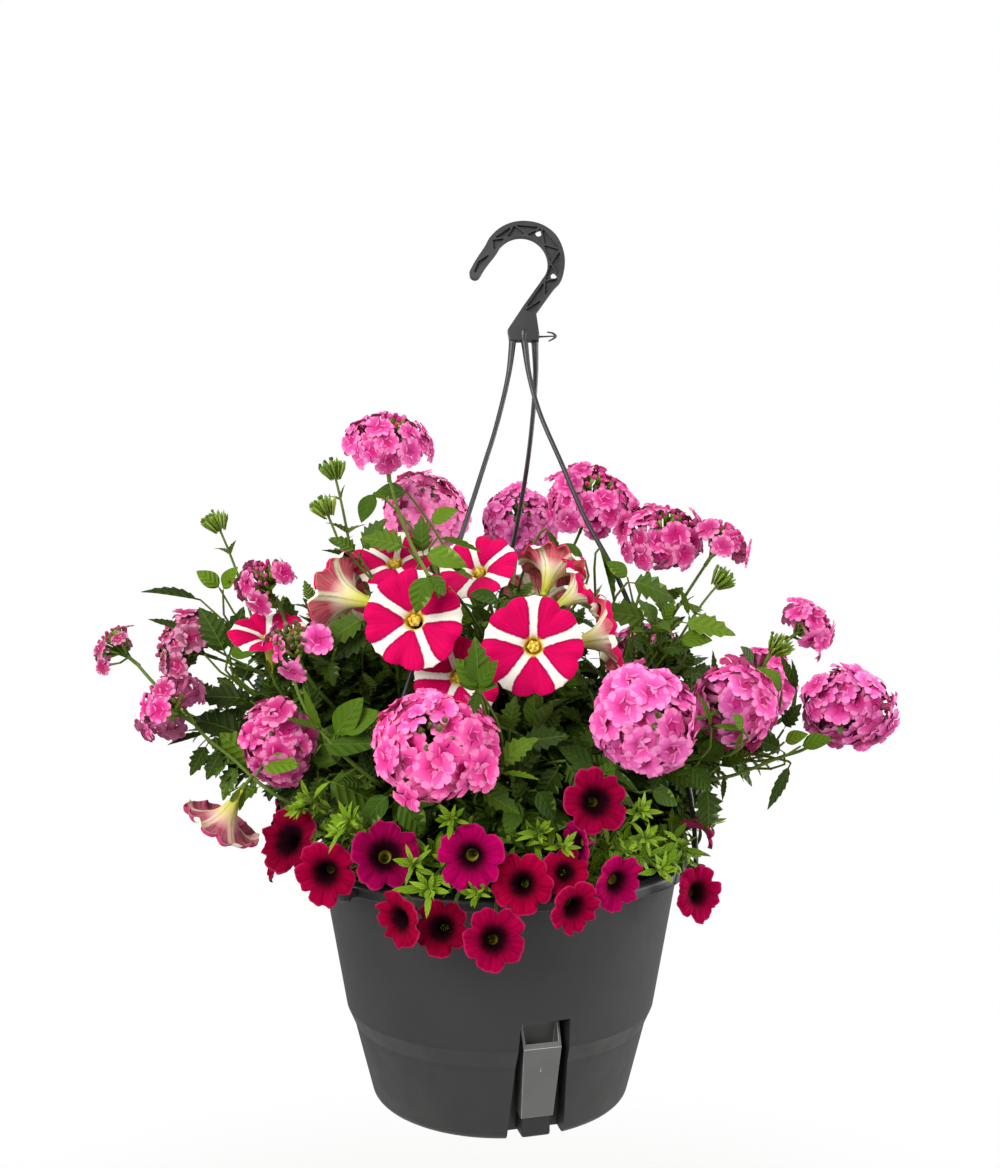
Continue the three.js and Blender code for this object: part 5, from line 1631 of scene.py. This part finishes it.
def funnel(frame_of, mouth, radius, sizes, ruffle, rng, thickness=0.45, lobes_from=0.45, steps=90):
    """A closed thin corolla from its profile of (radius, z) shares and its lobes' outline and folds."""
    profile, edge, folds = sizes
    profile = smooth_path(profile, 5)[:, :2]
    across = np.gradient(profile, axis=0)
    across /= np.linalg.norm(across, axis=1)[:, None]
    back = np.column_stack([across[:, 1], -across[:, 0]]) * thickness / radius
    rings = [(r, z, r) for r, z in profile] + [(r, z, r + UNDERSIDE) for r, z in (profile + back)[::-1]]
    rings[0] = (0, rings[0][1], 0)
    rings[-1] = (0, rings[-1][1], UNDERSIDE)
    swell = [rng.uniform(0.97, 1.03) - ruffle * rng.uniform(0, 1) for _ in range(5)]
    lift = [rng.uniform(-0.04, 0.04) + ruffle * rng.uniform(-1.5, 1.5) for _ in range(5)]
    waves = [(number, rng.uniform(0, 6.28), rng.uniform(0.5, 1)) for number in (3, 7, 11, 17)]
    points, marks, starts = [], [], []
    for reach, z, mark in rings:
        count = 1 if reach == 0 else steps
        starts.append((len(points), count))
        open_share = clamped((reach - lobes_from) / (1 - lobes_from))
        for i in range(count):
            turn = 2 * math.pi * i / count
            lobe = (5 * i / count) % 1
            off = min(lobe, 1 - lobe) * 2
            which = int(round(5 * i / count)) % 5
            wave = ruffle * sum(high * math.sin(number * turn + shift) for number, shift, high in waves)
            r = reach * (1 + open_share * (float(np.interp(off, *edge)) * swell[which] + 0.4 * wave - 1))
            rise = z + open_share * (float(np.interp(off, *folds)) + lift[which] * (1 - off**2) + wave)
            points.append((r * math.cos(turn), r * math.sin(turn), rise))
            marks.append((5 * i / count, mark))
    faces, uvs = [], []
    for (first, count), (second, other) in zip(starts, starts[1:]):
        for i in range(steps):
            corners = ((first, count, i), (second, other, i), (second, other, i + 1), (first, count, i + 1))
            pairs = {}
            for start, size, index in corners:
                vertex = start + index % size
                pairs[vertex] = (5 * index / steps, marks[vertex][1])
            faces.append(tuple(pairs)[::-1])
            uvs.append([pairs[v] for v in faces[-1]])
    corolla = solid("corolla", np.array(points) * radius @ frame_of + mouth, faces)
    with_map(corolla.data, uvs)
    return corolla


def round_flower(frame_of, start=0.0):
    """The five directions across a flower's facing in which its like pieces stand."""
    turns = [2 * math.pi * k / 5 + start for k in range(5)]
    return [frame_of[0] * math.cos(t) + frame_of[1] * math.sin(t) for t in turns]


def streaked(nodes, round_share, radial, count, length=1.0):
    """Streaks that run from a flower's throat to its rim."""
    sockets = {0: nodes.times(round_share, count), 1: nodes.times(radial, length)}
    return nodes.grain(1.0, 3.0, 0.5, nodes.add("ShaderNodeCombineXYZ", sockets).outputs[0])


def petunia_finish(name, field, outline, star, back, reverse):
    """Velvety petals: a streaked red field, a veined white star, an olive throat, and a paler outside."""
    nodes = new_material(name, roughness=0.75, specular_ior_level=0.06)
    round_share, reach = nodes.on_surface()
    radial = nodes.math("MODULO", reach, UNDERSIDE)
    off = nodes.off_half(nodes.math("FRACT", nodes.plus(round_share, 0.5)))
    frayed = nodes.times(nodes.minus(nodes.grain(420, 4, 0.65), 0.5), 0.05)
    distance = nodes.plus(nodes.times(nodes.times(off, math.tau / 5), radial), frayed)
    beyond = nodes.minus(distance, nodes.ramp(radial, STAR_WIDTHS))
    streaks = streaked(nodes, round_share, radial, 16, 1.6)
    red = nodes.over(linear(field), outline, streaks, (0.35, 0.0), (0.7, 0.5))
    red = nodes.over(red, outline, nodes.times(beyond, 5.0), (0.05, 1.0), (0.35, 0.0))
    veins = nodes.ramp(nodes.off_half(streaks), [(0.0, 1.0), (0.03, 0.0)])
    white_star = nodes.mixed(nodes.times(veins, 0.35), star, "b9b890")
    white_star = nodes.over(white_star, "f3a9c4", beyond, (0.0, 0.0), (0.02, 0.7))
    star_edge = nodes.plus(nodes.times(beyond, 8.0), 0.5)
    colours = nodes.over(white_star, red, star_edge, (0.42, 0.0), (0.62, 1.0))
    throat = nodes.over("c8ac20", "ecca30", radial, (0.0, 0.0), (0.16, 1.0))
    colours = nodes.over(colours, throat, radial, (0.15, 1.0), (0.23, 0.0), smooth=True)
    outside = nodes.over("b8b83e", back, radial, (0.12, 0.0), (0.36, 1.0))
    flush = nodes.ramp(streaks, [(0.3, 0.7), (0.7, 1.0)])
    limb = nodes.times(nodes.ramp(radial, [(0.24, 0.0), (0.5, 1.0)]), flush)
    between_rays = nodes.times(nodes.ramp(beyond, [(0.0, 0.0), (0.05, 1.0)]), limb)
    outside = nodes.mixed(between_rays, outside, reverse)
    outside = nodes.mixed(nodes.times(veins, 0.3), outside, "8c8a40")
    midrib = nodes.ramp(distance, [(0.0, 0.75), (0.03, 0.0)])
    midrib = nodes.times(midrib, nodes.ramp(radial, [(0.6, 1.0), (1.0, 0.2)]))
    outside = nodes.mixed(midrib, outside, "8e9430")
    colours = nodes.mixed(nodes.math("GREATER_THAN", reach, UNDERSIDE - 0.5), colours, outside)
    return nodes.finished(colours, streaks, 0.0006, 0.4)


striped = petunia_finish("petunia_petals", "c80050", "90003c", "e6e0d4", "f0e6c8", "cc1458")
dusky = petunia_finish("dusky_petunia_petals", "b8406c", "8c2850", "e8d4cc", "dcb8a8", "9c2456")
nodes = new_material("anthers", roughness=0.8)
pollen = nodes.ramp(nodes.grain(700, 3), [(0.35, "a08c18"), (0.5, "d8b62c"), (0.7, "ecdc7a")])
anther_finish = nodes.finished(pollen)

for number, ((mouth, azimuth, elevation, radius, crown), roll) in enumerate(zip(PETUNIAS, PETUNIA_ROLLS), 1):
    rng = random.Random(f"petunia {number}")
    frame_of = facing_frame(azimuth, elevation, roll)
    facing = frame_of[2]
    mouth = np.array(mouth, float)
    profile, ruffle = (OPENING_PROFILE, 0.04) if number in OPENING else (PETUNIA_PROFILE, 0.012)
    if number == DUSKY:
        ruffle = 0.018
    corolla = funnel(frame_of, mouth, radius, (profile, PETUNIA_EDGE, PETUNIA_FOLDS), ruffle, rng)
    corolla.data.materials.append(dusky if number == DUSKY else striped)
    foot = mouth - facing * 1.25 * radius
    stamens = []
    for k, side in enumerate(round_flower(frame_of, 0.4)):
        top = mouth - facing * radius * (0.2 + 0.03 * (k % 2)) + side * radius * 0.085
        stamens.append(tapered(np.array([mouth - facing * radius + side * radius * 0.03, top]), 0.3, 0.3))
        anther = np.array([top + facing * rise for rise in (-0.6, 0, 0.9, 1.4)])
        stamens.append(tapered(anther, 0.6, 1.35, 1.2, 0.4))
    knot = np.array([mouth - facing * radius * reach for reach in (0.75, 0.45, 0.25, 0.19)])
    stamens.append(tapered(knot, 0.5, 1.4, 0.125 * radius, 0.05 * radius))
    sepals = []
    for side in round_flower(frame_of):
        base, grow = foot + side * 1.4 - facing * 1.5, unit(facing + side * 0.35)
        sepals.append((base, grow, side * 0.9 - facing * 0.3, 13, 0.5, 0))
    stem = tapered(stem_to(CROWNS[crown], foot - facing, facing), 1.4, 1.1)
    cup = tapered(np.array([foot + facing * rise for rise in (-3, -1, 3)]), 1.6, 2.4)
    parts = [corolla, rods("stamens", stamens, anther_finish, 6)]
    parts.append(copies("sepals", sepals, calibrachoa_leaves, petunia_leaf_finish, number))
    parts.append(rods("stem", [stem, cup], stem_finish, 8))
    settled(joined(f"petunia_{number:02d}", parts), f"petunia_flower_{number:02d}")

# ---- Calibrachoas ----
# Small velvety funnels on trailing stems that root along the rim: crimson to magenta, with a nearly black
# throat that fades outwards in rays, and a small yellow eye.

# The (radius, z) shares of a funnel, and a lobe's reach and rise from its middle to the notch beside it.
CALIBRACHOA_PROFILE = [
    (0.0, -0.95), (0.09, -0.93), (0.11, -0.8), (0.14, -0.6), (0.18, -0.4), (0.26, -0.25), (0.42, -0.13),
    (0.65, -0.05), (0.85, -0.02), (1.0, -0.06),
]
# The magenta share of the flowers that aren't plain crimson, and their dark share, which is painted shade.
CALIBRACHOA_SHADES = {
    (-56, 0): (0.0, 0.9), (-56, 1): (0.2, 0.2), (-30, 0): (1.0, 0.7), (-30, 1): (0.0, 0.3),
    (-8, 0): (1.0, 0.0), (-8, 1): (0.0, 0.8), (0, 0): (0.5, 0.4), (12, 2): (0.3, 0.2),
    (24, 0): (1.0, 0.3), (24, 1): (0.4, 0.6), (30, 0): (0.9, 0.0), (66, 0): (1.0, 0.0),
    (66, 1): (0.5, 0.2), (120, 0): (1.0, 0.2), (165, 1): (0.2, 0.6), (215, 1): (1.0, 0.3),
    (268, 0): (0.0, 0.8), (268, 1): (0.3, 0.8),
}
STEM_ROOT_RADIUS = 113
STEM_ROOT_HEIGHT = 165.2
CALIBRACHOA_EDGE = ([0, 0.12, 0.4, 0.65, 0.85, 1], [0.96, 0.985, 1.0, 0.96, 0.87, 0.76])
CALIBRACHOA_FOLDS = ([0, 0.5, 0.85, 1], [-0.03, 0.02, 0.0, -0.06])

nodes = new_material("calibrachoa_petals", roughness=0.8, specular_ior_level=0.02)
round_share, reach = nodes.on_surface()
tint, dark = nodes.attribute("tint"), nodes.attribute("tone")
radial = nodes.math("MODULO", reach, UNDERSIDE)
rays = streaked(nodes, round_share, radial, 9)
field = nodes.family(tint, ["98002e", "a0003c", "a20050"])
# Painted shade: the dark share darkens a whole flower and lets its dark throat reach further.
field = nodes.mixed(nodes.times(dark, 0.6), field, "4c0018")
deep = nodes.mixed(1.0, field, (0.35, 0.3, 0.35, 1), "MULTIPLY")
deepest = nodes.mixed(1.0, field, (0.28, 0.2, 0.2, 1), "MULTIPLY")
colours = nodes.over(field, deep, rays, (0.42, 0.0), (0.62, 0.55))
colours = nodes.over(colours, deepest, radial, (0.3, 0.75), (0.85, 0.0), smooth=True)
throat = nodes.plus(radial, nodes.times(nodes.minus(rays, 0.5), 0.35))
throat = nodes.minus(throat, nodes.times(dark, 0.1))
colours = nodes.over(colours, "18020a", throat, (0.24, 1.0), (0.54, 0.0), smooth=True)
# Painted highlight: a pale pink fringe at the rim, where light catches the curled edges.
colours = nodes.over(colours, "e04080", radial, (0.92, 0.0), (1.0, 0.28))
eye = nodes.minus(radial, nodes.times(tint, 0.06))
colours = nodes.over(colours, "a49828", eye, (0.08, 1.0), (0.13, 0.0))
outside = nodes.mixed(0.16, field, (0.75, 0.2, 0.4, 1))
colours = nodes.mixed(nodes.math("GREATER_THAN", reach, UNDERSIDE - 0.5), colours, outside)
calibrachoa_petals = nodes.finished(colours, rays, 0.0004, 0.4)

for number, (root, flowers) in enumerate(CALIBRACHOA_SPRAYS.items(), 1):
    rng = random.Random(f"calibrachoa {number}")
    parts, feet, sepals = [], [on_circle(root, STEM_ROOT_RADIUS, STEM_ROOT_HEIGHT)], []
    for order, (mouth, azimuth, elevation, radius) in enumerate(flowers):
        frame_of = facing_frame(azimuth, elevation, rng.uniform(0, 72))
        mouth = np.array(mouth, float)
        sizes = (CALIBRACHOA_PROFILE, CALIBRACHOA_EDGE, CALIBRACHOA_FOLDS)
        corolla = funnel(frame_of, mouth, radius, sizes, 0.045, rng, thickness=0.4, lobes_from=0.35, steps=60)
        corolla.data.materials.append(calibrachoa_petals)
        for label, shade in zip(("tint", "tone"), CALIBRACHOA_SHADES.get((root, order), (0.1, 0.1))):
            attribute = corolla.data.attributes.new(label, "FLOAT", "POINT")
            attribute.data.foreach_set("value", np.full(len(corolla.data.vertices), shade, np.float32))
        parts.append(corolla)
        foot = mouth - frame_of[2] * 0.95 * radius
        feet.append(tuple(foot))
        for side in round_flower(frame_of):
            sepals.append((foot + side * 1.2, unit(frame_of[2] + side * 0.5), side, 8, 0.6, 0))
    parts.append(rods("stem", [smooth_path([(*foot, 1.1) for foot in feet], 8)], stem_finish, 6))
    parts.append(copies("sepals", sepals, calibrachoa_leaves, calibrachoa_leaf_finish, number))
    spray = joined(f"calibrachoa_{number:02d}", parts)
    settled(spray, f"calibrachoa_spray_{number:02d}")

for shapes in shape_sets:
    for used in list(shapes.objects):
        bpy.data.objects.remove(used)
    bpy.data.collections.remove(shapes)
